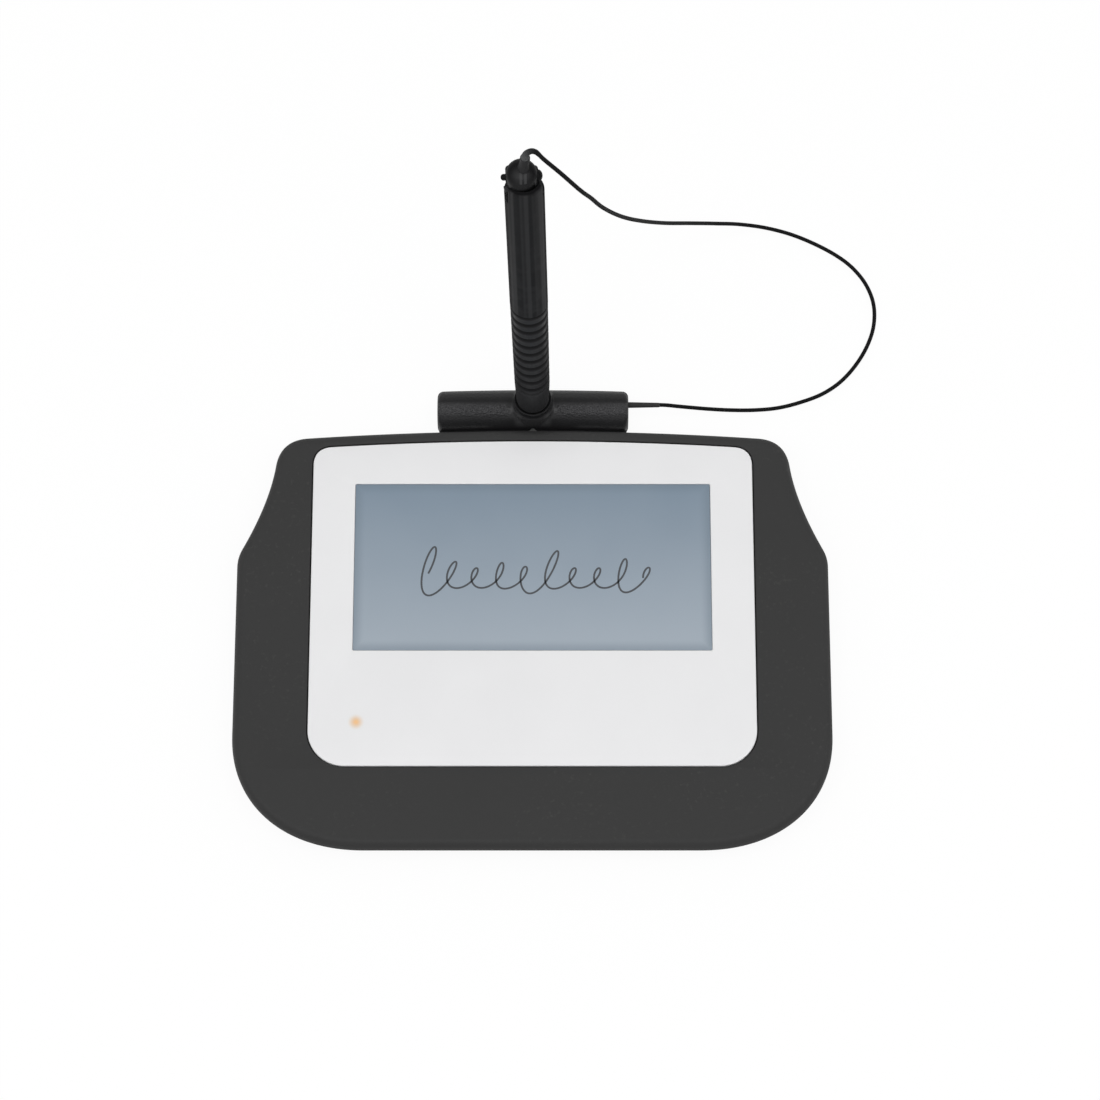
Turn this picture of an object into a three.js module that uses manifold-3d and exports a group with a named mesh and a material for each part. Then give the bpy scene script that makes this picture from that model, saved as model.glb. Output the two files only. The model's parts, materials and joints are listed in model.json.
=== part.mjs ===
// A counter-top signature pad with a pen that stands in a holder behind it and hangs on a tether.
// Millimetres, +X to the right, +Y away from the person who signs, +Z up, the table at Z 0.
import * as THREE from 'three';
import { mergeVertices } from 'three/addons/utils/BufferGeometryUtils.js';
import Module from 'manifold-3d';

const wasm = await Module();
wasm.setup();

// Fits and cuts
const fit = 0.3; // gap between two neighbours
const overrun = 2; // how far a cut runs past what it cuts
const weldGap = 0.0001; // points nearer than this are one
const roundSides = 32; // sides of a large round piece
const smallSides = 12; // sides of a screw or a pin

// Pad outline
const padSideBorder = 19.95; // from the faceplate's side to the pad's
const cornerWidth = 34.9; // front corner, along the front edge
const cornerDepth = 31; // front corner, along the side
const cornerFullShare = 0.598; // 0.552 would be a quarter ellipse
const waistFromRear = 36.4; // where the straight side turns into the drawn-in flank
const waistRound = 2.6;
const flankTuck = 8.1; // in from the side, where the flank's curve bends towards
const flankWaistFromRear = 20.8;
const rearTuck = 10.7; // in from the side, the rear corner before it is rounded
const rearArch = 2.7; // how much the rear edge drops from its middle to its ends
const rearRound = 7.5;
const curveSteps = 9; // steps along each curve of an outline

// Pad heights
const footProud = 1; // the feet stand this far below the bottom cover
const padThickness = 10.5;
const rimDrop = 3; // rounding of the top edge, downwards
const rimRun = 2.3; // rounding of the top edge, inwards
const rimSteps = 5;
const skirtDepth = 1.5; // below the widest line
const skirtTuck = 0.5; // how far the skirt draws in below the widest line
const coverWall = 1.8;
const coverCeiling = 1.2; // under the faceplate's recess

// Bottom cover
const trayTuck = 1.6; // rim of the bottom cover, in from the pad's outline
const bellyTuck = 1.4; // further in at the belly
const bellyHeight = 3.2;
const heelTuck = 2.4; // further in at the heel
const heelHeight = 1.2;
const soleTuck = 2.6; // further in at the flat underside
const trayWall = 1.6;

// Faceplate
const plateSideBorder = 11.45; // from the screen's side to the faceplate's
const plateFromFront = 22.1;
const plateFromRear = 3.8;
const plateThickness = 1.2;
const plateArch = 2; // how much its rear edge drops from the middle to the corners
const plateRearRound = 5;
const plateFrontRound = 9.8;
const plateGap = 0.35;
const plateBevel = 0.25;

// Screen
const screenWidth = 95;
const screenDepth = 47;
const screenFromPlateFront = 31.9;
const screenFromPlateRear = 12.4;
const windowGap = 0.3;
const windowSink = 0.15; // the writing surface lies this far below the faceplate
const gasketThickness = 0.5;
const gasketOuter = 2.6; // past the screen on each side
const gasketInner = 1.4; // short of the screen on each side
const touchThickness = 1.1;
const touchMargin = 3; // past the screen on each side
const lcdThickness = 1.4;
const backlightThickness = 1.2;
const trayMargin = 4; // the metal frame, past the screen on each side
const trayFloor = 0.4;
const trayEdge = 0.8;

// Indicator light
const ledFromScreenSide = 1.2; // towards the middle
const ledFromPlateFront = 12;
const ledWidth = 2;
const ledHeight = 0.8;
const pipeRadius = 1.3;

// Main board
const boardMargin = 0.5; // past the metal frame on each side
const boardFromFrame = 3.4; // its rear edge, in front of the metal frame
const boardFromFront = 10.6;
const boardThickness = 1;
const boardLift = 1.8; // above the bottom cover's floor
const boardScrewFromSide = 5;
const boardScrewFromEnd = 4;
const postRadius = 2.6;
const framePostFromSide = 11.5; // posts under the metal frame, in from its sides
const framePostInset = 6.5; // in from the frame's front and rear edges

// Parts on the main board
const processorSide = 12;
const processorHeight = 1.4;
const touchChipSide = 7;
const touchChipHeight = 1;
const touchChipFromMiddle = 26;
const memoryWidth = 5;
const memoryDepth = 6;
const memoryHeight = 1.5;
const memoryFromMiddle = 20;
const chipsBehindMiddle = 0.65; // of the room in front of the connectors
const lcdRibbonWidth = 22;
const touchRibbonWidth = 7;
const touchRibbonFromMiddle = 28;
const usbRibbonWidth = 5;
const ribbonThickness = 0.3;
const ribbonRun = 5.6; // how far a ribbon reaches over the board
const connectorMargin = 1.2; // a connector is this much wider than its ribbon, each side
const connectorDepth = 3.4;
const connectorHeight = 1.1;

// Data socket in the rear edge
const socketFromCorner = 12.5; // towards the middle, from the rear corner
const socketWidth = 7.5;
const socketDepth = 5.2;
const socketHeight = 2.4;
const socketWall = 0.3;
const socketTongue = 0.5;
const socketTongueWidth = 4;
const usbBoardWidth = 9.4;
const usbBoardDepth = 12;
const usbBoardThickness = 0.8;
const socketOverhang = 3.6; // past the edge of its board

// Feet
const footRadius = 6;
const footSeat = 0.6; // depth of the foot's recess
const footFrontFromSide = 30.9;
const footRearFromSide = 34.9;
const footFromFront = 14.6;
const footFromRear = 15.6;

// Cover screws
const screwHeadRadius = 2.3;
const screwHeadHeight = 1.1;
const screwSink = 0.2;
const screwRadius = 1.2;
const screwBossRadius = 3;
const screwPadRadius = 4;
const screwPadHeight = 1.4; // above the floor
const screwTipGap = 0.8; // left free over the screw's tip
const driveWidth = 0.6;
const driveShare = 0.7; // the cross recess, as a share of the head's radius
const driveDepthShare = 0.6;
const screwFrontFromSide = 16.9;
const screwFrontFromFront = 18.6;
const screwSideFromSide = 11.9;
const screwSideFromFront = 60;
const screwRearFromSide = 16.9;
const screwRearFromRear = 26;

// Small screws
const smallHeadRadius = 1.9;
const smallHeadHeight = 0.7;
const smallRadius = 0.9;
const boardScrewLength = 1.6;
const holderScrewLength = 1.8;

// Pen holder
const barLength = 51.8;
const barRadius = 5.5;
const barFromRear = 7.6; // its middle line, behind the pad's rear edge
const barBow = 0.45; // its ends lie this far in front of its middle
const barEndRound = 2.2;
const barEndSteps = 4;
const barSpanSteps = 6;
const barSides = 32;
const tongueWidth = 23.4;
const tongueReach = 21.3; // under the pad, from the rear edge
const tongueThickness = 1.6;
const tongueRoof = 1; // of the bottom cover, over the tongue
const holderScrewFromMiddle = 7;
const holderScrewFromTip = 5.5;
const rearNibWidth = 2.2; // small locating rib in the middle of the rear edge
const rearNibDepth = 0.7;
const rearNibRoot = 1.2; // how far the rib runs into the cover
const rimHeight = 14; // of the socket's rim, above the table
const rimRadius = 5.15;
const rimRound = 0.35;
const bossFlare = 0.35; // the boss is wider than its rim where it meets the bar
const penBehindBar = 0.1; // the pen's axis at the rim, behind the bar's middle line
const penBack = THREE.MathUtils.degToRad(2.5); // the pen leans back
const penLeft = THREE.MathUtils.degToRad(0.75); // and a little to the left

// Pen, along its axis from the socket's rim
const nibTip = 10.4; // below the rim
const nibLength = 1.9;
const nibRadius = 0.8;
const noseTipRadius = 1.5;
const noseRimRadius = 4.4;
const noseTopRadius = 4.7;
const noseTop = 11.3;
const spigotLength = 6;
const gripTop = 56.7;
const gripTopRadius = 4.92;
const gripGrooves = 10;
const grooveFirst = 13.6; // middle of the lowest groove, above the rim
const groovePitch = 4.3;
const grooveWidth = 2;
const grooveDepth = 0.5;
const grooveFloorShare = 0.5; // of the groove's width
const barrelTop = 123.7;
const barrelRadius = 4.9;
const barrelRound = 0.9; // its end, downwards
const barrelRoundShares = [[0, 1], [0.12, 0.55], [0.3, 0.2], [0.6, 0]]; // inwards, and left to go up
const barrelWall = 0.9;
const coreRadius = 3.3;
const coreBore = 2.1;
const coreReach = 8; // into the barrel
const coreCollar = 0.4; // wider there
const notchDepth = 5.2; // two notches in the barrel's end, which the plug's keys fill
const notchWidth = 2.4;
const notchTurn = THREE.MathUtils.degToRad(24);
const keyHeight = 3.8;

// Cap plug and the tether's end in it
const plugRadius = 3.85;
const domeFromBarrel = 2.3; // middle of the dome, above the barrel
const plugReach = 10.5; // into the barrel
const plugBoreRadius = 2.3;
const earSpan = 10.1; // across the two round ears
const earRadius = 0.9;
const earFromDome = 0.4; // below the middle of the dome
const earTurn = THREE.MathUtils.degToRad(6);
const domeAside = 0.45; // the dome and its ears sit this far to the left of the pen's axis
const domeSteps = 8;
const earSteps = 3;
const sleeveRadius = 0.75;
const sleeveSteps = 24;
const ferruleRadius = 1.8;
const ferruleLength = 4.5;
const ferruleRoof = 1.2; // of the dome, over the ferrule

// Route of the sleeve over the dome: to the side of the pen's axis, and above the dome
const sleeveRoute = [
  [0, 0], [0.2, 2], [0.42, 4.2], [0.55, 6], [1.05, 7.55], [2.1, 8.4], [3, 8], [3.6, 7.05],
];

// Tether's end in the holder
const anchorRadius = 1.3;
const anchorLength = 6.5;
const anchorAboveMiddle = 2.5; // above the bar's middle line
const anchorBehindMiddle = 1;
const holderSleeveRadius = 0.7;
const holderSleeveLength = 7.6;

// Tether between its two sleeves: diameter, and the points of its route
const cordRadius = 0.5;
const cordSides = 8;
const cordSteps = 80;
const cordRoute = [
  [1.97, 72.3, 150.5], [3.0, 72.2, 148.4], [7.2, 71.9, 141.1], [12.1, 72.6, 130.0], [14.6, 74.6, 121.8],
  [17.3, 77.4, 111.0], [22.5, 85.6, 88.0], [28.2, 94.6, 66.0], [35.2, 103.8, 45.0], [42.6, 111.7, 28.0],
  [50.0, 117.5, 15.4], [57.4, 121.2, 6.9], [64.6, 122.2, 2.5], [71.5, 121.0, 0.9], [78.3, 118.1, 0.6],
  [84.3, 114.5, 0.6], [88.4, 111.0, 0.6], [92.0, 106.0, 0.6], [94.0, 100.1, 0.6], [93.9, 93.5, 0.6],
  [91.9, 87.3, 0.6],
  [88.3, 81.2, 0.6], [84.0, 76.4, 0.6], [79.1, 73.0, 0.6], [73.2, 70.6, 0.6], [67.0, 68.9, 0.7],
  [60.6, 68.1, 1.1], [53.9, 67.6, 2.3], [47.8, 67.2, 4.1], [42.6, 66.8, 6.2], [38.8, 66.6, 7.6],
  [36.4, 66.7, 8.0], [34.1, 66.8, 8.0],
];

// Sizes and places worked out from the sizes above
const plateWidth = screenWidth + 2 * plateSideBorder;
const plateDepth = screenFromPlateFront + screenDepth + screenFromPlateRear;
const padWidth = plateWidth + 2 * padSideBorder;
const padDepth = plateFromFront + plateDepth + plateFromRear;
const rearWidth = padWidth - 2 * rearTuck;
const front = -padDepth / 2;
const rear = padDepth / 2;
const halfWidth = padWidth / 2;
const padBottom = footProud;
const padTop = footProud + padThickness;
const widest = padTop - rimDrop;
const skirtBottom = widest - skirtDepth;
const trayRim = skirtBottom - fit;
const floorTop = padBottom + trayWall;
const plateFront = front + plateFromFront;
const plateRear = plateFront + plateDepth;
const plateBottom = padTop - plateThickness;
const recessFloor = plateBottom - fit;
const ceiling = recessFloor - coverCeiling;
const screenMiddle = plateFront + screenFromPlateFront + screenDepth / 2;
const gasketBottom = plateBottom - fit - gasketThickness;
const touchBottom = gasketBottom - fit - touchThickness;
const lcdBottom = touchBottom - fit - lcdThickness;
const backlightBottom = lcdBottom - fit - backlightThickness;
const trayBottom = backlightBottom - fit - trayFloor;
const trayWidth = screenWidth + 2 * trayMargin;
const trayDepth = screenDepth + 2 * trayMargin;
const trayFront = screenMiddle - trayDepth / 2;
const trayRear = screenMiddle + trayDepth / 2;
const boardWidth = trayWidth + 2 * boardMargin;
const boardBottom = floorTop + boardLift;
const boardTop = boardBottom + boardThickness;
const boardFront = front + boardFromFront;
const boardRear = trayFront - boardFromFrame;
const boardDepth = boardRear - boardFront;
const ledPlace = [ledFromScreenSide - screenWidth / 2, plateFront + ledFromPlateFront];
const usbBoardBottom = floorTop + fit;
const usbBoardTop = usbBoardBottom + usbBoardThickness;
const socketMiddle = rearWidth / 2 - socketFromCorner;
const socketMouth = trayRear + fit + socketDepth;
const usbBoardRear = socketMouth - socketOverhang;
const tongueTip = rear - tongueReach;
const tongueTop = padBottom + tongueThickness;
const pocketTop = tongueTop + fit;
const barMiddle = rear + barFromRear;
const barHeight = barRadius;
const penPlace = new THREE.Vector3(0, barMiddle + penBehindBar, rimHeight);
const domeMiddle = barrelTop + domeFromBarrel;
const domeTop = domeMiddle + plugRadius;
const anchorPlace = [barMiddle - barBow + anchorBehindMiddle, barHeight + anchorAboveMiddle];

// Materials
function plastic(color, roughness) {
  return new THREE.MeshStandardMaterial({ color, roughness, metalness: 0 });
}

function metal(color, roughness) {
  return new THREE.MeshStandardMaterial({ color, roughness, metalness: 1 });
}

const materials = {
  cover: plastic(0x3d3d3d, 0.55),
  plate: plastic(0xe6e8ea, 0.45),
  screen: plastic(0x8f9da9, 0.25),
  gasket: plastic(0x202224, 0.9),
  lcd: plastic(0x7c8894, 0.3),
  backlight: plastic(0xdfe6ea, 0.4),
  frame: metal(0xb4b8bc, 0.4),
  board: plastic(0x1e5c38, 0.5),
  chip: plastic(0x1b1c1e, 0.5),
  connector: plastic(0xd8d2c0, 0.5),
  ribbon: plastic(0xa9672c, 0.45),
  led: plastic(0xf2a53a, 0.35),
  pipe: plastic(0xe8e8e4, 0.2),
  steel: metal(0x9a9da1, 0.35),
  rubber: plastic(0x232323, 0.85),
  holder: plastic(0x191a1b, 0.3),
  pen: plastic(0x1c1d1f, 0.35),
  grip: plastic(0x1a1b1c, 0.55),
  nib: plastic(0x2c2d30, 0.4),
  sleeve: plastic(0x85888c, 0.5),
  cord: plastic(0x151515, 0.5),
};

// Shapes
function solid(geometry) {
  const flat = geometry.index ? geometry.toNonIndexed() : geometry.clone();
  const bare = new THREE.BufferGeometry();
  bare.setAttribute('position', flat.getAttribute('position'));
  const merged = mergeVertices(bare, weldGap);
  return new wasm.Manifold(new wasm.Mesh({
    numProp: 3,
    vertProperties: merged.attributes.position.array,
    triVerts: new Uint32Array(merged.index.array),
  }));
}

function geometryOf(shape) {
  const { vertProperties, triVerts } = shape.getMesh();
  const geometry = new THREE.BufferGeometry();
  geometry.setAttribute('position', new THREE.BufferAttribute(new Float32Array(vertProperties), 3));
  geometry.setIndex(new THREE.BufferAttribute(new Uint32Array(triVerts), 1));
  const faceted = geometry.toNonIndexed();
  faceted.computeVertexNormals();
  return faceted;
}

function piece(name, shape, material) {
  const geometry = shape.isBufferGeometry ? shape : geometryOf(shape);
  const mesh = new THREE.Mesh(geometry, material);
  mesh.name = name;
  return mesh;
}

function block(width, depth, height, x, y, bottom) {
  return new THREE.BoxGeometry(width, depth, height).translate(x, y, bottom + height / 2);
}

function rod(radius, height, x, y, bottom, sides = smallSides) {
  const cylinder = new THREE.CylinderGeometry(radius, radius, height, sides);
  return cylinder.rotateX(Math.PI / 2).translate(x, y, bottom + height / 2);
}

// A turned piece from a profile of [radius, height] that climbs on its outside.
function turned(profile, sides = roundSides) {
  const points = profile.map(([radius, height]) => new THREE.Vector2(radius, height));
  return new THREE.LatheGeometry(points, sides).rotateX(Math.PI / 2);
}

function prism(shape, bottom, height) {
  const options = { depth: height, bevelEnabled: false, curveSegments: curveSteps };
  return new THREE.ExtrudeGeometry(shape, options).translate(0, 0, bottom);
}

function rectangle(width, depth) {
  const shape = new THREE.Shape();
  shape.moveTo(-width / 2, -depth / 2);
  shape.lineTo(width / 2, -depth / 2);
  shape.lineTo(width / 2, depth / 2);
  shape.lineTo(-width / 2, depth / 2);
  return shape;
}

// A closed body through rings of equal point counts; ends lists the triangles that close a ring.
function skinned(rings, ends) {
  const corners = [];
  rings.slice(1).forEach((upper, level) => {
    const lower = rings[level];
    lower.forEach((corner, i) => {
      const next = (i + 1) % lower.length;
      corners.push(corner, lower[next], upper[next], corner, upper[next], upper[i]);
    });
  });
  ends.forEach(([a, b, c]) => {
    corners.push(rings[0][a], rings[0][c], rings[0][b]);
    corners.push(rings.at(-1)[a], rings.at(-1)[b], rings.at(-1)[c]);
  });
  return new THREE.BufferGeometry().setFromPoints(corners);
}

// A body of stacked outlines, lowest first, each { outline, height }.
function stacked(levels) {
  const rings = levels.map(({ outline, height }) => (
    outline.map((point) => new THREE.Vector3(point.x, point.y, height))
  ));
  return skinned(rings, THREE.ShapeUtils.triangulateShape(levels[0].outline, []));
}

// The outline moved inwards; its points run anticlockwise.
function inset(outline, distance) {
  return outline.map((point, i) => {
    const along = point.clone().sub(outline.at(i - 1)).normalize();
    const onward = outline[(i + 1) % outline.length].clone().sub(point).normalize();
    const inward = new THREE.Vector2(-along.y - onward.y, along.x + onward.x).normalize();
    const spread = inward.dot(new THREE.Vector2(-along.y, along.x));
    return point.clone().addScaledVector(inward, distance / spread);
  });
}

// The outline drawn in about the pad's middle, by the distance at its sides, front and rear.
function shrunk(outline, distance) {
  const scale = new THREE.Vector2(1 - distance / halfWidth, 1 - distance / rear);
  return outline.map((point) => point.clone().multiply(scale));
}

// Outlines
function mirrored(half) {
  const right = half.getPoints(curveSteps);
  const left = right.slice(1, -1).reverse().map((point) => new THREE.Vector2(-point.x, point.y));
  return [...right, ...left];
}

function padOutline() {
  const archRate = rearArch / (rearWidth / 2) ** 2;
  const waist = new THREE.Vector2(halfWidth, rear - waistFromRear);
  const bend = new THREE.Vector2(halfWidth - flankTuck, rear - flankWaistFromRear);
  const archEnd = rearWidth / 2 - rearRound;
  const corner = new THREE.Vector2(rearWidth / 2, rear - archRate * archEnd * (archEnd + 2 * rearRound));
  const flankStart = waist.clone().add(bend.clone().sub(waist).setLength(waistRound));
  const flankEnd = corner.clone().add(bend.clone().sub(corner).setLength(rearRound));
  const cornerShort = 1 - cornerFullShare;
  const half = new THREE.Path();
  half.moveTo(0, front);
  half.lineTo(halfWidth - cornerWidth, front);
  half.bezierCurveTo(
    halfWidth - cornerWidth * cornerShort, front,
    halfWidth, front + cornerDepth * cornerShort,
    halfWidth, front + cornerDepth,
  );
  half.lineTo(halfWidth, waist.y - waistRound);
  half.quadraticCurveTo(waist.x, waist.y, flankStart.x, flankStart.y);
  half.quadraticCurveTo(bend.x, bend.y, flankEnd.x, flankEnd.y);
  half.quadraticCurveTo(corner.x, corner.y, archEnd, rear - archRate * archEnd ** 2);
  half.quadraticCurveTo(archEnd / 2, rear, 0, rear);
  return mirrored(half);
}

function plateOutline() {
  const side = plateWidth / 2;
  const archEnd = side - plateRearRound;
  const archRate = plateArch / side ** 2;
  const archEndY = plateRear - archRate * archEnd ** 2;
  const cornerY = plateRear - archRate * archEnd * (archEnd + 2 * plateRearRound);
  const half = new THREE.Path();
  half.moveTo(0, plateFront);
  half.lineTo(side - plateFrontRound, plateFront);
  half.absarc(side - plateFrontRound, plateFront + plateFrontRound, plateFrontRound, -Math.PI / 2, 0, false);
  half.lineTo(side, cornerY - plateRearRound);
  half.quadraticCurveTo(side, cornerY, archEnd, archEndY);
  half.quadraticCurveTo(archEnd / 2, plateRear, 0, plateRear);
  return mirrored(half);
}

// Screws
function screwSolid(headRadius, headHeight, radius, length) {
  const head = solid(rod(headRadius, headHeight, 0, 0, 0));
  const shank = solid(rod(radius, length, 0, 0, headHeight - fit));
  const reach = 2 * headRadius * driveShare;
  const depth = headHeight * driveDepthShare;
  const slot = solid(block(reach, driveWidth, depth + overrun, 0, 0, -overrun));
  const crossSlot = solid(block(driveWidth, reach, depth + overrun, 0, 0, -overrun));
  return head.add(shank).subtract(slot).subtract(crossSlot);
}

function screwsAt(name, places, shape, height, pointsDown) {
  return places.map(([x, y], i) => {
    const screw = piece(`${name}_${i + 1}`, shape, materials.steel);
    screw.position.set(x, y, height);
    if (pointsDown) screw.rotation.x = Math.PI;
    return screw;
  });
}

const coverScrewPlaces = [-1, 1].flatMap((side) => [
  [side * (halfWidth - screwFrontFromSide), front + screwFrontFromFront],
  [side * (halfWidth - screwSideFromSide), front + screwSideFromFront],
  [side * (halfWidth - screwRearFromSide), rear - screwRearFromRear],
]);
const boardScrewPlaces = [-1, 1].flatMap((side) => [
  [side * (boardWidth / 2 - boardScrewFromSide), boardFront + boardScrewFromEnd],
  [side * (boardWidth / 2 - boardScrewFromSide), boardRear - boardScrewFromEnd],
]);
const framePostPlaces = [-1, 1].flatMap((side) => [
  [side * (trayWidth / 2 - framePostFromSide), trayFront + framePostInset],
  [side * (trayWidth / 2 - framePostFromSide), trayRear - framePostInset],
]);
const footPlaces = [-1, 1].flatMap((side) => [
  [side * (halfWidth - footFrontFromSide), front + footFromFront],
  [side * (halfWidth - footRearFromSide), rear - footFromRear],
]);
const holderScrewPlaces = [-1, 1].map((side) => [side * holderScrewFromMiddle, tongueTip + holderScrewFromTip]);

// Housing
function topCover() {
  const outline = padOutline();
  const levels = [{ outline: inset(outline, skirtTuck), height: skirtBottom }];
  for (let step = 0; step <= rimSteps; step += 1) {
    const turn = (step / rimSteps) * (Math.PI / 2);
    const height = widest + rimDrop * Math.sin(turn);
    levels.push({ outline: inset(outline, rimRun * (1 - Math.cos(turn))), height });
  }
  const inner = inset(outline, coverWall + skirtTuck);
  const hollow = stacked([
    { outline: inner, height: skirtBottom - overrun },
    { outline: inner, height: ceiling },
  ]);
  const recess = inset(plateOutline(), -plateGap);
  const touchHole = rectangle(screenWidth + 2 * (touchMargin + fit), screenDepth + 2 * (touchMargin + fit));
  const nib = new THREE.Shape();
  nib.moveTo(-rearNibWidth / 2, rear - rearNibRoot);
  nib.lineTo(rearNibWidth / 2, rear - rearNibRoot);
  nib.lineTo(rearNibWidth / 2, rear - fit);
  nib.lineTo(0, rear + rearNibDepth);
  nib.lineTo(-rearNibWidth / 2, rear - fit);
  let cover = solid(stacked(levels))
    .add(solid(prism(nib, skirtBottom, widest - skirtBottom + rimDrop / 2)))
    .subtract(solid(hollow))
    .subtract(solid(stacked([
      { outline: recess, height: recessFloor },
      { outline: recess, height: padTop + overrun },
    ])))
    .subtract(solid(prism(touchHole, ceiling - overrun, coverCeiling + 2 * overrun).translate(0, screenMiddle, 0)))
    .subtract(solid(rod(pipeRadius + fit, coverCeiling + 2 * overrun, ...ledPlace, ceiling - overrun)));
  const bossBottom = floorTop + screwPadHeight + fit;
  coverScrewPlaces.forEach(([x, y]) => {
    const boss = solid(rod(screwBossRadius, ceiling + coverCeiling / 2 - bossBottom, x, y, bossBottom));
    const bore = solid(rod(screwRadius + fit, ceiling - bossBottom + overrun, x, y, bossBottom - overrun));
    cover = cover.add(boss).subtract(bore);
  });
  return piece('top_cover', cover, materials.cover);
}

function bottomCover() {
  const outline = padOutline();
  const bellyInset = trayTuck + bellyTuck;
  const heelInset = bellyInset + heelTuck;
  const soleInset = heelInset + soleTuck;
  const bellyLevel = padBottom + bellyHeight;
  const shell = stacked([
    { outline: shrunk(outline, soleInset), height: padBottom },
    { outline: shrunk(outline, heelInset), height: padBottom + heelHeight },
    { outline: shrunk(outline, bellyInset), height: bellyLevel },
    { outline: shrunk(outline, trayTuck), height: trayRim },
  ]);
  const inside = stacked([
    { outline: shrunk(outline, heelInset + trayWall), height: floorTop },
    { outline: shrunk(outline, bellyInset + trayWall), height: bellyLevel + trayWall / 2 },
    { outline: shrunk(outline, trayTuck + trayWall), height: trayRim },
    { outline: shrunk(outline, trayTuck + trayWall), height: trayRim + overrun },
  ]);
  let tray = solid(shell).subtract(solid(inside));
  const post = (radius, top) => ([x, y]) => {
    tray = tray.add(solid(rod(radius, top - floorTop + trayWall / 2, x, y, floorTop - trayWall / 2)));
  };
  const hole = (radius, top, from) => ([x, y]) => {
    tray = tray.subtract(solid(rod(radius, top - from, x, y, from)));
  };
  coverScrewPlaces.forEach(post(screwPadRadius, floorTop + screwPadHeight));
  boardScrewPlaces.forEach(post(postRadius, boardBottom - fit));
  framePostPlaces.forEach(post(postRadius, trayBottom - fit));
  const headRoom = padBottom + screwSink + screwHeadHeight + fit;
  coverScrewPlaces.forEach(hole(screwHeadRadius + fit, headRoom, padBottom - overrun));
  coverScrewPlaces.forEach(hole(screwRadius + fit, boardTop, padBottom));
  boardScrewPlaces.forEach(hole(smallRadius + fit, boardBottom, boardBottom - boardScrewLength));
  footPlaces.forEach(hole(footRadius + fit, padBottom + footSeat, padBottom - overrun));
  const pocketWidth = tongueWidth + 2 * fit;
  const pocketFront = tongueTip - fit;
  const roofDepth = rear - bellyInset + trayWall / 2 - pocketFront;
  const roof = block(
    pocketWidth + 2 * trayWall, roofDepth, pocketTop + tongueRoof - floorTop + trayWall / 2,
    0, pocketFront - trayWall + roofDepth / 2, floorTop - trayWall / 2,
  );
  const pocketDepth = tongueReach + fit + overrun;
  const pocket = block(
    pocketWidth, pocketDepth, pocketTop - padBottom + overrun,
    0, pocketFront + pocketDepth / 2, padBottom - overrun,
  );
  tray = tray.add(solid(roof)).subtract(solid(pocket));
  holderScrewPlaces.forEach(hole(smallRadius + fit, pocketTop + tongueRoof + overrun, padBottom));
  const mouthFront = socketMouth - socketDepth / 2;
  const mouthDepth = rear + overrun - mouthFront;
  const mouth = block(
    socketWidth + 2 * fit, mouthDepth, trayRim - usbBoardTop + overrun,
    socketMiddle, mouthFront + mouthDepth / 2, usbBoardTop,
  );
  return piece('bottom_cover', tray.subtract(solid(mouth)), materials.cover);
}

function faceplate() {
  const shape = new THREE.Shape(inset(plateOutline(), plateBevel));
  const grown = 2 * (windowGap + plateBevel);
  const window = rectangle(screenWidth + grown, screenDepth + grown).getPoints();
  shape.holes.push(new THREE.Path(window.map((point) => point.setY(point.y + screenMiddle))));
  const geometry = new THREE.ExtrudeGeometry(shape, {
    depth: plateThickness - 2 * plateBevel,
    bevelThickness: plateBevel,
    bevelSize: plateBevel,
    bevelSegments: 1,
  });
  return piece('faceplate', geometry.translate(0, 0, plateBottom + plateBevel), materials.plate);
}

function feet() {
  return footPlaces.map(([x, y], i) => {
    const height = footProud + footSeat - fit;
    return piece(`foot_${i + 1}`, rod(footRadius, height, x, y, 0, roundSides), materials.rubber);
  });
}

function coverScrews() {
  const bottom = padBottom + screwSink;
  const length = ceiling - screwTipGap - bottom - screwHeadHeight + fit;
  const shape = screwSolid(screwHeadRadius, screwHeadHeight, screwRadius, length);
  return screwsAt('cover_screw', coverScrewPlaces, shape, bottom, false);
}

// Screen
function slab(name, width, depth, height, bottom, material) {
  return piece(name, block(width, depth, height, 0, screenMiddle, bottom), material);
}

function gasket() {
  const frame = rectangle(screenWidth + 2 * gasketOuter, screenDepth + 2 * gasketOuter);
  frame.holes.push(rectangle(screenWidth - 2 * gasketInner, screenDepth - 2 * gasketInner));
  const geometry = prism(frame, gasketBottom, gasketThickness).translate(0, screenMiddle, 0);
  return piece('screen_gasket', geometry, materials.gasket);
}

function metalFrame() {
  const height = lcdBottom + lcdThickness - trayBottom;
  const outer = solid(block(trayWidth, trayDepth, height, 0, screenMiddle, trayBottom));
  const inner = solid(block(
    trayWidth - 2 * trayEdge, trayDepth - 2 * trayEdge, height,
    0, screenMiddle, trayBottom + trayFloor,
  ));
  return piece('lcd_frame', outer.subtract(inner), materials.frame);
}

function screenPieces() {
  const panelWidth = trayWidth - 2 * (trayEdge + fit);
  const panelDepth = trayDepth - 2 * (trayEdge + fit);
  const touchWidth = screenWidth + 2 * touchMargin;
  const touchDepth = screenDepth + 2 * touchMargin;
  const surface = plateThickness - windowSink;
  return [
    slab('writing_surface', screenWidth, screenDepth, surface, plateBottom, materials.screen),
    gasket(),
    slab('touch_panel', touchWidth, touchDepth, touchThickness, touchBottom, materials.backlight),
    slab('lcd_panel', panelWidth, panelDepth, lcdThickness, lcdBottom, materials.lcd),
    slab('backlight', panelWidth, panelDepth, backlightThickness, backlightBottom, materials.backlight),
    metalFrame(),
  ];
}

// Electronics
function onBoard(name, width, depth, height, x, y, material) {
  return piece(name, block(width, depth, height, x, y, boardTop), material);
}

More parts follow.
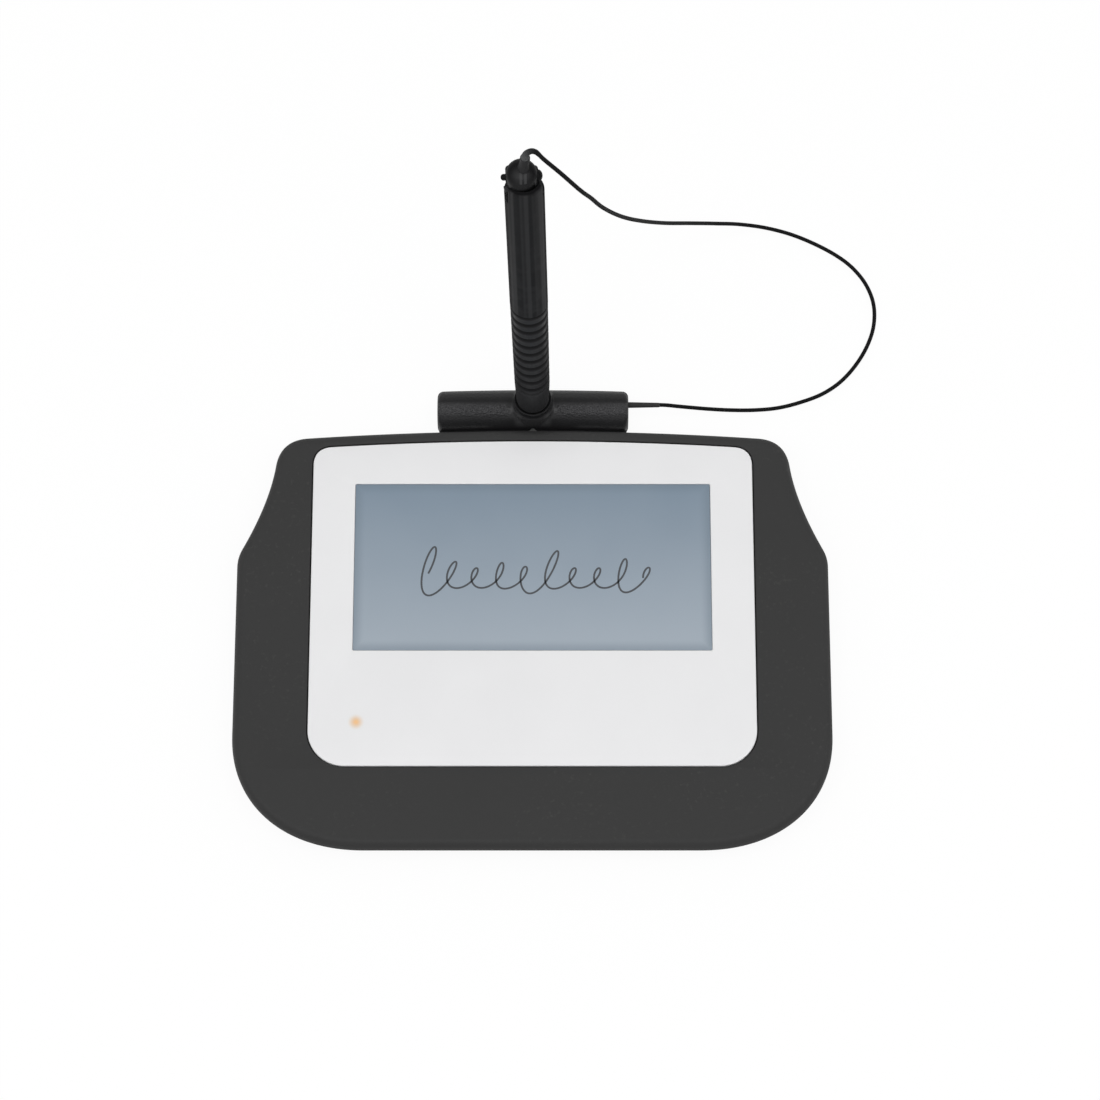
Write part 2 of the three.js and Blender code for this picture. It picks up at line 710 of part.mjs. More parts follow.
function mainBoard() {
  const middle = boardFront + boardDepth / 2;
  let board = solid(block(boardWidth, boardDepth, boardThickness, 0, middle, boardBottom));
  boardScrewPlaces.forEach(([x, y]) => {
    board = board.subtract(solid(rod(smallRadius + fit, boardThickness + 2 * overrun, x, y, boardBottom - overrun)));
  });
  return piece('main_board', board, materials.board);
}

// A flat ribbon that runs through [y, z] places and is as wide as it is told.
function ribbon(name, width, x, places) {
  const upper = places.map(([y, z]) => new THREE.Vector2(y, z + ribbonThickness));
  const lower = places.map(([y, z]) => new THREE.Vector2(y, z)).reverse();
  const shape = new THREE.Shape([...upper, ...lower]);
  const geometry = new THREE.ExtrudeGeometry(shape, { depth: width, bevelEnabled: false });
  geometry.rotateX(Math.PI / 2).rotateZ(Math.PI / 2).translate(x - width / 2, 0, 0);
  return piece(name, geometry, materials.ribbon);
}

function electronics() {
  const connectorRow = boardRear - ribbonRun - connectorDepth / 2 - fit;
  const chipRow = (boardFront + connectorRow - connectorDepth / 2) / 2 + chipsBehindMiddle;
  const ribbonLevel = boardTop + connectorHeight / 2;
  const touchFront = screenMiddle - screenDepth / 2 - touchMargin;
  const usbMiddle = usbBoardRear - usbBoardDepth / 2;
  const ribbonEnd = boardRear - ribbonRun;
  const usbRibbonX = boardWidth / 2 + fit + usbRibbonWidth / 2;
  return [
    mainBoard(),
    onBoard('processor', processorSide, processorSide, processorHeight, 0, chipRow, materials.chip),
    onBoard('touch_chip', touchChipSide, touchChipSide, touchChipHeight, touchChipFromMiddle, chipRow, materials.chip),
    onBoard('memory_chip', memoryWidth, memoryDepth, memoryHeight, -memoryFromMiddle, chipRow, materials.chip),
    onBoard('lcd_connector', lcdRibbonWidth + 2 * connectorMargin, connectorDepth, connectorHeight,
      0, connectorRow, materials.connector),
    onBoard('touch_connector', touchRibbonWidth + 2 * connectorMargin, connectorDepth, connectorHeight,
      touchRibbonFromMiddle, connectorRow, materials.connector),
    onBoard('indicator_led', ledWidth, ledWidth, ledHeight, ...ledPlace, materials.led),
    ribbon('lcd_ribbon', lcdRibbonWidth, 0, [
      [ribbonEnd, ribbonLevel], [trayFront - fit, ribbonLevel],
    ]),
    ribbon('touch_ribbon', touchRibbonWidth, touchRibbonFromMiddle, [
      [ribbonEnd, ribbonLevel], [trayFront - ribbonRun / 2, ribbonLevel],
      [trayFront - fit, touchBottom], [touchFront - fit, touchBottom],
    ]),
    piece('light_pipe', rod(pipeRadius, plateBottom - fit - boardTop - ledHeight - fit, ...ledPlace,
      boardTop + ledHeight + fit), materials.pipe),
    piece('usb_board', block(usbBoardWidth, usbBoardDepth, usbBoardThickness,
      socketMiddle, usbMiddle, usbBoardBottom), materials.board),
    usbSocket(),
    ribbon('usb_ribbon', usbRibbonWidth, usbRibbonX, [
      [boardFront + boardDepth / 2, usbBoardBottom], [usbBoardRear - usbBoardDepth - fit, usbBoardBottom],
    ]),
  ];
}

function usbSocket() {
  const middle = socketMouth - socketDepth / 2;
  const bore = socketDepth - 2 * socketWall;
  const shell = solid(block(socketWidth, socketDepth, socketHeight, socketMiddle, middle, usbBoardTop));
  const hollow = solid(block(
    socketWidth - 2 * socketWall, bore + overrun, socketHeight - 2 * socketWall,
    socketMiddle, socketMouth + (overrun - bore) / 2, usbBoardTop + socketWall,
  ));
  const tongue = solid(block(
    socketTongueWidth, bore, socketTongue,
    socketMiddle, middle - socketWall, usbBoardTop + (socketHeight - socketTongue) / 2,
  ));
  return piece('usb_socket', shell.subtract(hollow).add(tongue), materials.frame);
}

function boardScrews() {
  const shape = screwSolid(smallHeadRadius, smallHeadHeight, smallRadius, boardScrewLength + fit);
  return screwsAt('board_screw', boardScrewPlaces, shape, boardTop + smallHeadHeight, true);
}

// Pen holder
function penFrame() {
  const frame = new THREE.Group();
  frame.position.copy(penPlace);
  frame.rotation.set(-penBack, -penLeft, 0);
  frame.updateMatrix();
  return frame;
}

function barSolid() {
  const half = barLength / 2;
  const stations = [];
  for (let step = 0; step <= barEndSteps; step += 1) {
    const turn = (step / barEndSteps) * (Math.PI / 2);
    stations.push([-half + barEndRound * (1 - Math.cos(turn)), barEndRound * (1 - Math.sin(turn))]);
  }
  const plain = half - barEndRound;
  for (let step = 1; step < barSpanSteps; step += 1) stations.push([plain * ((2 * step) / barSpanSteps - 1), 0]);
  stations.push(...stations.slice(0, barEndSteps + 1).reverse().map(([x, less]) => [-x, less]));
  const rings = stations.map(([x, less]) => Array.from({ length: barSides }, (_, i) => {
    const turn = (i / barSides) * Math.PI * 2;
    const radius = barRadius - less;
    const y = barMiddle - barBow * (x / half) ** 2 + radius * Math.cos(turn);
    const z = barHeight + radius * Math.sin(turn);
    return new THREE.Vector3(x, y, Math.max(z, padBottom));
  }));
  const ends = Array.from({ length: barSides - 2 }, (_, i) => [0, i + 1, i + 2]);
  return solid(skinned(rings, ends));
}

function penHolder() {
  const lean = penFrame().matrix;
  const bossFoot = barHeight - rimHeight;
  const boss = turned([
    [0, bossFoot], [rimRadius + bossFlare, bossFoot], [rimRadius, bossFoot + barRadius],
    [rimRadius, -rimRound], [rimRadius - rimRound, 0], [0, 0],
  ]);
  const socket = turned([
    [0, -nibTip - fit], [noseTipRadius + fit, -nibTip - fit], [noseTipRadius + fit, -nibTip + nibLength - fit],
    [noseRimRadius + fit, 0], [noseRimRadius + fit, overrun], [0, overrun],
  ]);
  const tongueDepth = barMiddle - tongueTip;
  const tongue = block(
    tongueWidth, tongueDepth, tongueThickness, 0, tongueTip + tongueDepth / 2, padBottom,
  );
  const anchorBore = new THREE.CylinderGeometry(
    anchorRadius + fit, anchorRadius + fit, anchorLength + fit + overrun, smallSides,
  ).rotateZ(Math.PI / 2).translate(
    barLength / 2 - anchorLength - fit + (anchorLength + fit + overrun) / 2, ...anchorPlace,
  );
  let holder = barSolid()
    .add(solid(boss.applyMatrix4(lean)))
    .add(solid(tongue))
    .subtract(solid(socket.applyMatrix4(lean)))
    .subtract(solid(anchorBore));
  const headRoom = screwSink + smallHeadHeight + fit;
  holderScrewPlaces.forEach(([x, y]) => {
    const wide = solid(rod(smallHeadRadius + fit, headRoom + overrun, x, y, padBottom - overrun));
    const narrow = solid(rod(smallRadius + fit, tongueThickness + overrun, x, y, padBottom));
    holder = holder.subtract(wide).subtract(narrow);
  });
  return piece('pen_holder', holder, materials.holder);
}

function holderScrews() {
  const shape = screwSolid(smallHeadRadius, smallHeadHeight, smallRadius, holderScrewLength + fit);
  return screwsAt('holder_screw', holderScrewPlaces, shape, padBottom + screwSink, false);
}

function sideways(radius, length, from) {
  const cylinder = new THREE.CylinderGeometry(radius, radius, length, smallSides).rotateZ(Math.PI / 2);
  return cylinder.translate(from + length / 2, ...anchorPlace);
}

function tetherAnchor() {
  return piece('tether_anchor', sideways(anchorRadius, anchorLength, barLength / 2 - anchorLength), materials.steel);
}

function holderSleeve() {
  const sleeve = sideways(holderSleeveRadius, holderSleeveLength, barLength / 2 + fit);
  return piece('holder_sleeve', sleeve, materials.rubber);
}

// Pen
function penNose() {
  const coneFoot = -nibTip + nibLength;
  const nose = turned([
    [0, coneFoot], [noseTipRadius, coneFoot], [noseRimRadius, 0], [noseTopRadius, noseTop],
    [coreBore - fit, noseTop], [coreBore - fit, noseTop + spigotLength], [0, noseTop + spigotLength],
  ]);
  const nibHole = solid(rod(nibRadius + fit, nibLength + fit, 0, 0, coneFoot - fit));
  return piece('pen_nose', solid(nose).subtract(nibHole), materials.grip);
}

function penNib() {
  const top = -nibTip + 2 * nibLength - fit;
  const profile = [[0, -nibTip]];
  for (let step = 1; step <= domeSteps; step += 1) {
    const turn = (step / domeSteps) * (Math.PI / 2);
    profile.push([nibRadius * Math.sin(turn), -nibTip + nibRadius * (1 - Math.cos(turn))]);
  }
  profile.push([nibRadius, top], [0, top]);
  return piece('pen_nib', turned(profile, smallSides), materials.nib);
}

function penCore() {
  const foot = noseTop + fit;
  const shoulder = gripTop + fit;
  const top = shoulder + coreReach;
  const profile = [
    [coreBore, foot], [coreRadius, foot], [coreRadius, shoulder], [coreRadius + coreCollar, shoulder],
    [coreRadius + coreCollar, top], [coreBore, top], [coreBore, foot],
  ];
  return piece('pen_core', turned(profile, smallSides * 2), materials.nib);
}

function penGrip() {
  const foot = noseTop + fit;
  const radiusAt = (height) => (
    noseTopRadius + (gripTopRadius - noseTopRadius) * ((height - foot) / (gripTop - foot))
  );
  const profile = [[coreRadius + fit, foot], [radiusAt(foot), foot]];
  for (let groove = 0; groove < gripGrooves; groove += 1) {
    const middle = grooveFirst + groove * groovePitch;
    [[-1, 0], [-grooveFloorShare, 1], [grooveFloorShare, 1], [1, 0]].forEach(([along, deep]) => {
      profile.push([radiusAt(middle) - deep * grooveDepth, middle + (along * grooveWidth) / 2]);
    });
  }
  profile.push([gripTopRadius, gripTop], [coreRadius + fit, gripTop], [coreRadius + fit, foot]);
  return piece('pen_grip', turned(profile), materials.grip);
}

function penBarrel() {
  const foot = gripTop + fit;
  const bore = barrelRadius - barrelWall;
  const barrel = turned([
    [bore, foot], [barrelRadius, foot],
    ...barrelRoundShares.map(([inwards, down]) => (
      [barrelRadius - inwards * barrelRound, barrelTop - down * barrelRound]
    )),
    [bore, barrelTop], [bore, foot],
  ]);
  const notch = block(
    2 * (barrelRadius + overrun), notchWidth, notchDepth + overrun, 0, 0, barrelTop - notchDepth,
  ).rotateZ(notchTurn);
  return piece('pen_barrel', solid(barrel).subtract(solid(notch)), materials.pen);
}

function capPlug() {
  const foot = barrelTop - plugReach;
  const plugBody = barrelRadius - barrelWall - fit;
  const body = solid(rod(plugBody, barrelTop + fit - foot, 0, 0, foot, roundSides));
  const profile = [[0, barrelTop], [plugRadius, barrelTop]];
  for (let step = 0; step <= domeSteps; step += 1) {
    const turn = (step / domeSteps) * (Math.PI / 2);
    profile.push([plugRadius * Math.cos(turn), domeMiddle + plugRadius * Math.sin(turn)]);
  }
  const ears = [-1, 1].map((side) => {
    const arm = new THREE.CapsuleGeometry(earRadius, earSpan / 2 - 2 * earRadius, earSteps, smallSides);
    const ear = arm.rotateZ(Math.PI / 2).translate((side * earSpan) / 4, 0, domeMiddle - earFromDome);
    return solid(ear.rotateZ(earTurn).translate(-domeAside, 0, 0));
  });
  const keys = block(
    2 * barrelRadius, notchWidth - 2 * fit, keyHeight, 0, 0, barrelTop - notchDepth + fit,
  ).rotateZ(notchTurn);
  const ferruleTop = domeTop - ferruleRoof - sleeveRadius;
  const bore = solid(rod(plugBoreRadius, ferruleTop - foot + overrun, 0, 0, foot - overrun, smallSides * 2));
  const exit = solid(rod(sleeveRadius + fit, domeTop - foot, 0, 0, foot + overrun));
  const dome = solid(turned(profile).translate(-domeAside, 0, 0));
  const plug = body.add(dome).add(ears[0]).add(ears[1]).add(solid(keys)).subtract(bore).subtract(exit);
  return piece('cap_plug', plug, materials.pen);
}

// Tether
function tube(name, radius, sides, steps, path, material) {
  const ring = Array.from({ length: sides }, (_, i) => {
    const turn = (i / sides) * Math.PI * 2;
    return new THREE.Vector2(radius * Math.cos(turn), radius * Math.sin(turn));
  });
  const geometry = new THREE.ExtrudeGeometry(new THREE.Shape(ring), { steps, extrudePath: path, bevelEnabled: false });
  return piece(name, geometry, material);
}

function penSleeve() {
  const foot = domeTop - ferruleRoof - sleeveRadius + fit;
  const points = sleeveRoute.map(([side, rise]) => new THREE.Vector3(side, 0, domeTop + rise));
  const path = new THREE.CatmullRomCurve3([new THREE.Vector3(0, 0, foot), ...points]);
  return tube('pen_sleeve', sleeveRadius, smallSides, sleeveSteps, path, materials.sleeve);
}

function tetherFerrule() {
  const top = domeTop - ferruleRoof - sleeveRadius;
  return piece('tether_ferrule', rod(ferruleRadius, ferruleLength, 0, 0, top - ferruleLength), materials.steel);
}

function tetherCord() {
  const path = new THREE.CatmullRomCurve3(cordRoute.map((place) => new THREE.Vector3(...place)));
  return tube('tether_cord', cordRadius, cordSides, cordSteps, path, materials.cord);
}

// Assembly
const pad = new THREE.Group();
pad.add(
  topCover(), bottomCover(), faceplate(), ...feet(), ...coverScrews(),
  ...screenPieces(), ...electronics(), ...boardScrews(),
  penHolder(), ...holderScrews(), tetherAnchor(), holderSleeve(),
);
const pen = penFrame();
pen.add(penNose(), penNib(), penCore(), penGrip(), penBarrel(), capPlug());
const tetherEnd = penFrame();
tetherEnd.add(penSleeve(), tetherFerrule());
pad.add(pen, tetherEnd);

// The origin lies under the middle of the box that holds everything but the cord.
const box = new THREE.Box3().setFromObject(pad, true);
const part = new THREE.Group();
part.add(pad, tetherCord());
part.children.forEach((child) => child.translateY(-(box.min.y + box.max.y) / 2));

export default part;
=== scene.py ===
"""A counter-top signature pad: a low dark housing with a pale faceplate and a screen, a holder bar
along its rear edge, and a tethered pen that stands in the bar.

Shapes are drawn in millimetres in the pad's own frame and go to metres when a piece is finished.
"""
import json
import math

import bmesh
import bpy
from mathutils import Matrix, Vector, geometry


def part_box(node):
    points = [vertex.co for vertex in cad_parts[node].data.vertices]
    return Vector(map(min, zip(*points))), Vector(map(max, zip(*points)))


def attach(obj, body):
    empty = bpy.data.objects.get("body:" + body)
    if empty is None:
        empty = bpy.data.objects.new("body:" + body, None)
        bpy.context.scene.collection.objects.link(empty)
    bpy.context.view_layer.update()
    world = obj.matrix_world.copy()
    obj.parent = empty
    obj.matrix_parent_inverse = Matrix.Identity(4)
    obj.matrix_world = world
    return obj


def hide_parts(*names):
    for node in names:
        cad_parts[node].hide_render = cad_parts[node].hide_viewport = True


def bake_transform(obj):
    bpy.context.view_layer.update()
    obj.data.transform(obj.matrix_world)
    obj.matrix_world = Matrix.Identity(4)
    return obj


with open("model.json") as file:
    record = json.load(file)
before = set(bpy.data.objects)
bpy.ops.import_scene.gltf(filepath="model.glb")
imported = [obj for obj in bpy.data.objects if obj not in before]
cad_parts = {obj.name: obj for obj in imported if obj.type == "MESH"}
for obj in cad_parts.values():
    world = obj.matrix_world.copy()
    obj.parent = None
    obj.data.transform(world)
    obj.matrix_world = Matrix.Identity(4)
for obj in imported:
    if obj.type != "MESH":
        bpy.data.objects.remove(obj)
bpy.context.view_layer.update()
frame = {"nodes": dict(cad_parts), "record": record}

nodes = frame["nodes"]
scene = bpy.context.scene
scene.view_settings.view_transform = "Standard"

METRE = 1000.0
fit = 0.3  # gap between two neighbours
weld = 0.0005  # points closer than this are one
overrun = 2.0  # how far a cutting body passes the face that it opens
fine_sides = 96  # sides of a turned piece that shows
curve_steps = 22  # steps along each curve of an outline

# Camera and lamps, in metres
lens, sensor_width, camera_elevation = 124.03, 36.0, math.radians(69.851)
camera_aim, camera_distance = Vector((0.004637, 0.014567, 0.0115)), 1.010875
lamps = [  # (name, place, what it faces, (width, height), watts)
    ("key", (0.0, -0.4, 1.44), (0, 0.06, 0), (1.6, 0.85), 13.3),
    ("rim", (0.0, 1.45, 0.5), (0, 0.06, 0), (1.7, 0.3), 1.8),
    ("left_window", (-1.3, -0.2, 0.9), (0, 0.05, 0.05), (0.5, 1.0), 2.4),
    ("right_window", (1.3, 0.2, 0.9), (0, 0.05, 0.05), (0.5, 1.0), 2.8),
]
surroundings = 0.42  # the world's strength on the object; where it is seen it is white
table_grey, table_glow, table_share = 0.7, 1.03, 0.9
table_reach, table_drop = 4, 0.0002

# Pad
pad_width, pad_depth = 157.8, 117.2
corner_width, corner_depth, corner_fullness = 34.9, 31.0, 0.598
waist_from_rear, waist_round = 36.4, 2.6
flank_waist, flank_waist_from_rear = 141.6, 20.8
rear_width, rear_arch, rear_round = 136.4, 2.7, 7.5
pad_top, rim_drop, rim_run, rim_steps = 11.5, 3.0, 2.3, 14
skirt_depth, skirt_tuck, skirt_round = 1.5, 0.5, 0.35
wall = 1.8
ceiling = 8.8  # underside of the top cover
recess_lip = 0.18  # rounding round the faceplate's recess
opening_margin, guide_radius = 3.3, 1.6  # holes under the plate for the screen and the light guide
tab_outline = [  # the small tab at the rear: (from the middle, behind the rear edge)
    (-1.1, -0.9), (1.1, -0.9), (1.1, -0.25), (0.22, 0.55), (-0.22, 0.55), (-1.1, -0.25),
]
tab_low, tab_high = 0.2, 1.4  # above the skirt's foot, and above the widest line
base_bottom, base_top, base_wall = 1.0, 6.7, 1.6
base_profile = [(8.0, 1.0), (5.4, 2.2), (3.0, 4.2), (1.6, 6.7)]  # (in from the outline, height)
base_rings, base_crowding = 14, 1.4  # rings up the base, closer together towards the sole
room_step = 5.0  # height where the room inside the base widens
pocket_height = 1.9  # of the slot for the holder's tongue
mouth_width, mouth_depth, mouth_low, mouth_ahead = 8.1, 12, 3.7, 5.7  # opening for the data socket

# Feet and screw heads
foot_radius, foot_height, foot_recess = 6.0, 1.3, 0.6
screw_bottom, screw_recess, drive_width, drive_share = 1.2, 1.4, 0.6, 0.6
cover_screw_radius, cover_screw_height = 2.3, 1.1
holder_screw_radius, holder_screw_height = 1.9, 0.7
holder_screw_hole = [(0, -1), (2.2, -1), (2.2, 2.2), (1.2, 2.2), (1.2, 4), (0, 4)]
foot_radius_shares = [
    (0, 0), (0.3, 0.78), (0.38, 0.84), (0.46, 0.93), (0.54, 0.98), (0.62, 1), (0.8, 1), (1, 0),
]
foot_height_shares = [
    (0, 0.1), (0.3, 0.1), (0.38, 0), (0.46, 0.02), (0.54, 0.1), (0.62, 0.24), (0.8, 1), (1, 1),
]
screw_radius_shares = [(0, 0), (0.3, 0.86), (0.4, 0.95), (0.5, 1), (0.8, 1), (1, 0)]
screw_height_shares = [(0, 0), (0.3, 0.05), (0.4, 0.13), (0.5, 0.3), (0.8, 1), (1, 1)]

# Faceplate and screen
plate_width, plate_depth, plate_from_front, plate_thickness = 117.9, 91.3, 22.1, 1.2
plate_arch, plate_rear_round, plate_front_round, plate_gap = 2.0, 5.0, 9.8, 0.35
plate_bevel, window_edge_out, window_edge_down = 0.22, 0.3, 0.2
screen_width, screen_depth, screen_from_plate_front = 95.0, 47.0, 31.9
window_gap, window_sink, window_corner, surface_round = 0.07, 0.15, 0.4, 0.12

# The stroke on the screen
stroke_width, stroke_loops, stroke_length = 0.52, 9.5, 62.0
stroke_peaks = [  # (place, spread, height)
    (0.05, 0.07, 4.6), (0.36, 0.03, 1.4), (0.53, 0.05, 4.0), (0.9, 0.04, 3.0),
]
stroke_swing, stroke_lift, stroke_slant = 2.8, 0.45, 0.34
stroke_loop_width, stroke_loop_share = 1.7, 0.12
stroke_drop, stroke_steps = 4.5, 420  # below the screen's middle
stroke_under, stroke_over = 0.01, 0.015  # below and above the screen's surface

# Holder bar
bar_length, bar_radius, bar_from_rear, bar_bow = 51.8, 5.5, 7.6, 0.45
bar_end_round, bar_squareness, rim_height, boss_radius = 1.5, 0.72, 14.0, 5.15
bar_end_steps, bar_middle_steps = 10, 12
bar_lip_low, bar_lip_high = 3.0, 4.6  # the lip runs forward under the cover's skirt
bar_lip_gap, bar_lip_ends, bar_lip_root = 0.6, 0.9, 1.0
boss_flare, boss_flare_ahead, flare_low, flare_high = 0.9, 0.1, -3.4, -1.6  # below the rim
boss_edge = [(0, -0.5), (-0.12, -0.2), (-0.42, 0)]  # (outwards, above the rim)
skin_size, skin_softness, skin_passes = 0.2, 0.5, 14  # of the skin over bar and boss
tongue_width, tongue_reach, tongue_thickness = 23.4, 21.3, 1.6
socket_gap, funnel_depth = 0.06, 0.4  # round the pen's nose at the rim
funnel_out, funnel_rise = 0.5, 0.15
anchor_radius, anchor_length, anchor_z = 1.3, 6.5, 8.0
anchor_past_end, anchor_behind = 0.7, 1.0
pen_back, pen_left = math.radians(2.5), math.radians(0.75)
pen_behind_bar = 0.1

# Pen, heights along its axis from the socket's rim
nib_tip, nib_length, nib_radius, nib_root = -10.4, 1.9, 0.8, 1.6
nose_tip_radius, nose_rim_radius, nose_top_radius, nose_top = 1.5, 4.4, 4.7, 11.3
nose_edge, spigot_radius, spigot_length = 0.5, 1.8, 6
grip_top, grip_top_radius, core_radius, grip_gap = 58.4, 4.86, 3.3, 0.12
grooves, groove_first, groove_pitch, groove_width, groove_depth = 11, 14.8, 4.35, 2.5, 0.55
barrel_top, barrel_radius, barrel_wall, barrel_gap = 123.7, 4.9, 0.9, 0.25
barrel_edge_in, barrel_edge_up = 0.18, 0.2
notch_depth, notch_width, notch_turn, key_depth = 6.2, 2.6, math.radians(22), 2.2
front_rim, rear_step, step_from_middle = 125.3, 4.6, 1.9  # the barrel's rear rim is lower
plug_length, plug_neck, collar_rise, collar_gap, collar_edge = 10.5, 1.2, 0.9, 0.03, 0.3
key_top, key_face, key_face_top, key_face_in = 1.1, 0.85, 1.05, 0.4
dome_radius, dome_middle, dome_aside = 3.9, 126.0, 0.52
dome_foot_in, dome_foot_rise = 0.15, 0.3
ear_span, ear_drop, ear_turn, ear_behind = 10.1, 0.4, math.radians(3), 0.12
ear_radii, ear_fullness, ear_length = {-1: 0.8, 1: 1.5}, 0.8, 3.4
lug_radius, lug_turn, lug_reach = 0.9, math.radians(32), 4.5  # behind the ears
lug_foot, lug_top = 0.5, 0.9
shoulder_in, shoulder_down, dome_squareness = 0.9, 1.8, 0.75
rib_places, rib_width, rib_rise, rib_low, rib_ahead = (-0.1, 1.0), 0.62, 0.06, 2.3, 1.2
dome_highlight_before, dome_highlight_reach = 1.7, 3.4  # the painted highlight on the dome: before the axis, across
boot_route = [(0, -0.8), (0.01, 0), (0.2, 2), (0.4, 4.0), (0.49, 5.2)]
boot_radii = [1.75, 1.5, 1.3, 1.24, 1.2]
sleeve_route = [  # (to the side of the axis, above the dome)
    (0.02, 0.4), (0.1, 1.2), (0.2, 2), (0.42, 4.2), (0.55, 6),
    (1.05, 7.55), (2.1, 8.4), (3, 8), (3.6, 7.05), (3.9, 6.5),
]
sleeve_radii = [0.95, 1.0, 1.1, 1.14, 0.96, 0.78, 0.7, 0.66, 0.6, 0.56]

# Tether between its two sleeves, in the pad's own frame
cord_radius = 0.54
cord_route = [
    (1.97, 72.3, 150.5), (3.0, 72.2, 148.4), (7.2, 71.9, 141.1), (12.1, 72.6, 130.0),
    (14.6, 74.6, 121.8), (17.3, 77.4, 111.0), (22.5, 85.6, 88.0), (28.2, 94.6, 66.0),
    (35.2, 103.8, 45.0), (42.6, 111.7, 28.0), (50.0, 117.5, 15.4), (57.4, 121.2, 6.9),
    (64.6, 122.2, 2.5), (71.5, 121.0, 0.9), (78.3, 118.1, 0.6), (84.3, 114.5, 0.6),
    (88.4, 111.0, 0.6), (92.0, 106.0, 0.6), (94.0, 100.1, 0.6), (93.9, 93.5, 0.6),
    (91.9, 87.3, 0.6), (88.3, 81.2, 0.6), (84.0, 76.4, 0.6), (79.1, 73.0, 0.6),
    (73.2, 70.6, 0.6), (67.0, 68.9, 0.7), (60.6, 68.1, 1.1), (53.9, 67.6, 2.3),
    (47.8, 67.2, 4.1), (42.6, 66.8, 6.2), (38.8, 66.6, 7.6), (36.4, 66.7, 8.0),
    (34.1, 66.8, 8.0),
]
holder_boot_in, holder_boot_out = 1.5, 0.6  # past the ends of the solid sleeve
holder_boot_radius, holder_boot_taper, holder_boot_edge = 0.82, 0.2, 0.06

# Places
front, rear = -pad_depth / 2, pad_depth / 2
plate_front = front + plate_from_front
plate_rear = plate_front + plate_depth
plate_bottom = pad_top - plate_thickness
screen_middle = plate_front + screen_from_plate_front + screen_depth / 2
bar_middle = rear + bar_from_rear
widest = pad_top - rim_drop
skirt_bottom = widest - skirt_depth
cone_foot = nib_tip + nib_length
bore_radius = barrel_radius - barrel_wall
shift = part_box("top_cover")[0].y * METRE - front  # from the pad's own frame to the row's
to_row = Matrix.Scale(1 / METRE, 4) @ Matrix.Translation((0, shift, 0))


def rotation(angle, axis):
    return Matrix.Rotation(angle, 4, axis)


def middle_of(name):
    """The middle of a node's box, in millimetres in the pad's own frame."""
    low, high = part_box(name)
    middle = (low + high) / 2 * METRE
    return middle.x, middle.y - shift, middle.z


def numbered(stem, count):
    return [f"{stem}_{i}" for i in range(1, count + 1)]


pen_frame = (Matrix.Translation((0, bar_middle + pen_behind_bar, rim_height))
             @ rotation(-pen_back, "X") @ rotation(-pen_left, "Y"))


# Camera, lamps and floor
def aimed_camera():
    data = bpy.data.cameras.new("camera")
    data.lens, data.sensor_width, data.clip_end = lens, sensor_width, 20.0
    camera = bpy.data.objects.new("camera", data)
    forward = Vector((0, math.cos(camera_elevation), -math.sin(camera_elevation)))
    camera.location = camera_aim - forward * camera_distance
    camera.rotation_euler = (math.pi / 2 - camera_elevation, 0, 0)
    scene.collection.objects.link(camera)
    scene.camera = camera


def softbox(name, place, target, size, watts):
    data = bpy.data.lights.new(name, "AREA")
    data.shape, data.size, data.size_y, data.energy = "RECTANGLE", size[0], size[1], watts
    lamp = bpy.data.objects.new(name, data)
    lamp.location = place
    lamp.rotation_euler = (Vector(target) - Vector(place)).to_track_quat("-Z", "Y").to_euler()
    scene.collection.objects.link(lamp)


def seen_directly(tree):
    """1 for rays from the camera, from gloss and through glass, else 0."""
    rays = tree.nodes.new("ShaderNodeLightPath").outputs
    seen = Field(tree, rays["Is Camera Ray"])
    for ray in ("Is Glossy Ray", "Is Transmission Ray"):
        seen = seen.maths("MAXIMUM", Field(tree, rays[ray]))
    return seen


def shown(tree, share, lit, bright, output):
    """Two shaders mixed by a share and led to the tree's output."""
    mix = added(tree, "ShaderNodeMixShader", {0: share})
    tree.links.new(lit.outputs[0], mix.inputs[1])
    tree.links.new(bright.outputs[0], mix.inputs[2])
    tree.links.new(mix.outputs[0], tree.nodes[output].inputs["Surface"])


def studio():
    world = bpy.data.worlds.new("studio")
    scene.world = world
    world.use_nodes = True
    tree = world.node_tree
    dim = tree.nodes["Background"]
    dim.inputs["Color"].default_value = (1, 1, 1, 1)
    dim.inputs["Strength"].default_value = surroundings
    bright = added(tree, "ShaderNodeBackground", {"Strength": 1.0, "Color": (1, 1, 1, 1)})
    shown(tree, seen_directly(tree), dim, bright, "World Output")
    for lamp in lamps:
        softbox(*lamp)


def table_top():
    material, tree, lit = new_material("pale_table")
    lit.inputs["Base Color"].default_value = (table_grey, table_grey, table_grey, 1)
    lit.inputs["Roughness"].default_value = 0.8
    glow = added(tree, "ShaderNodeEmission", {"Color": (1, 1, 1, 1), "Strength": table_glow})
    shown(tree, seen_directly(tree) * table_share, lit, glow, "Material Output")
    corners = [(a * table_reach, b * table_reach, -table_drop)
               for a, b in ((-1, -1), (1, -1), (1, 1), (-1, 1))]
    mesh = bpy.data.meshes.new("table_top")
    mesh.from_pydata(corners, [], [(0, 1, 2, 3)])
    mesh.materials.append(material)
    floor = bpy.data.objects.new("table_top", mesh)
    scene.collection.objects.link(floor)


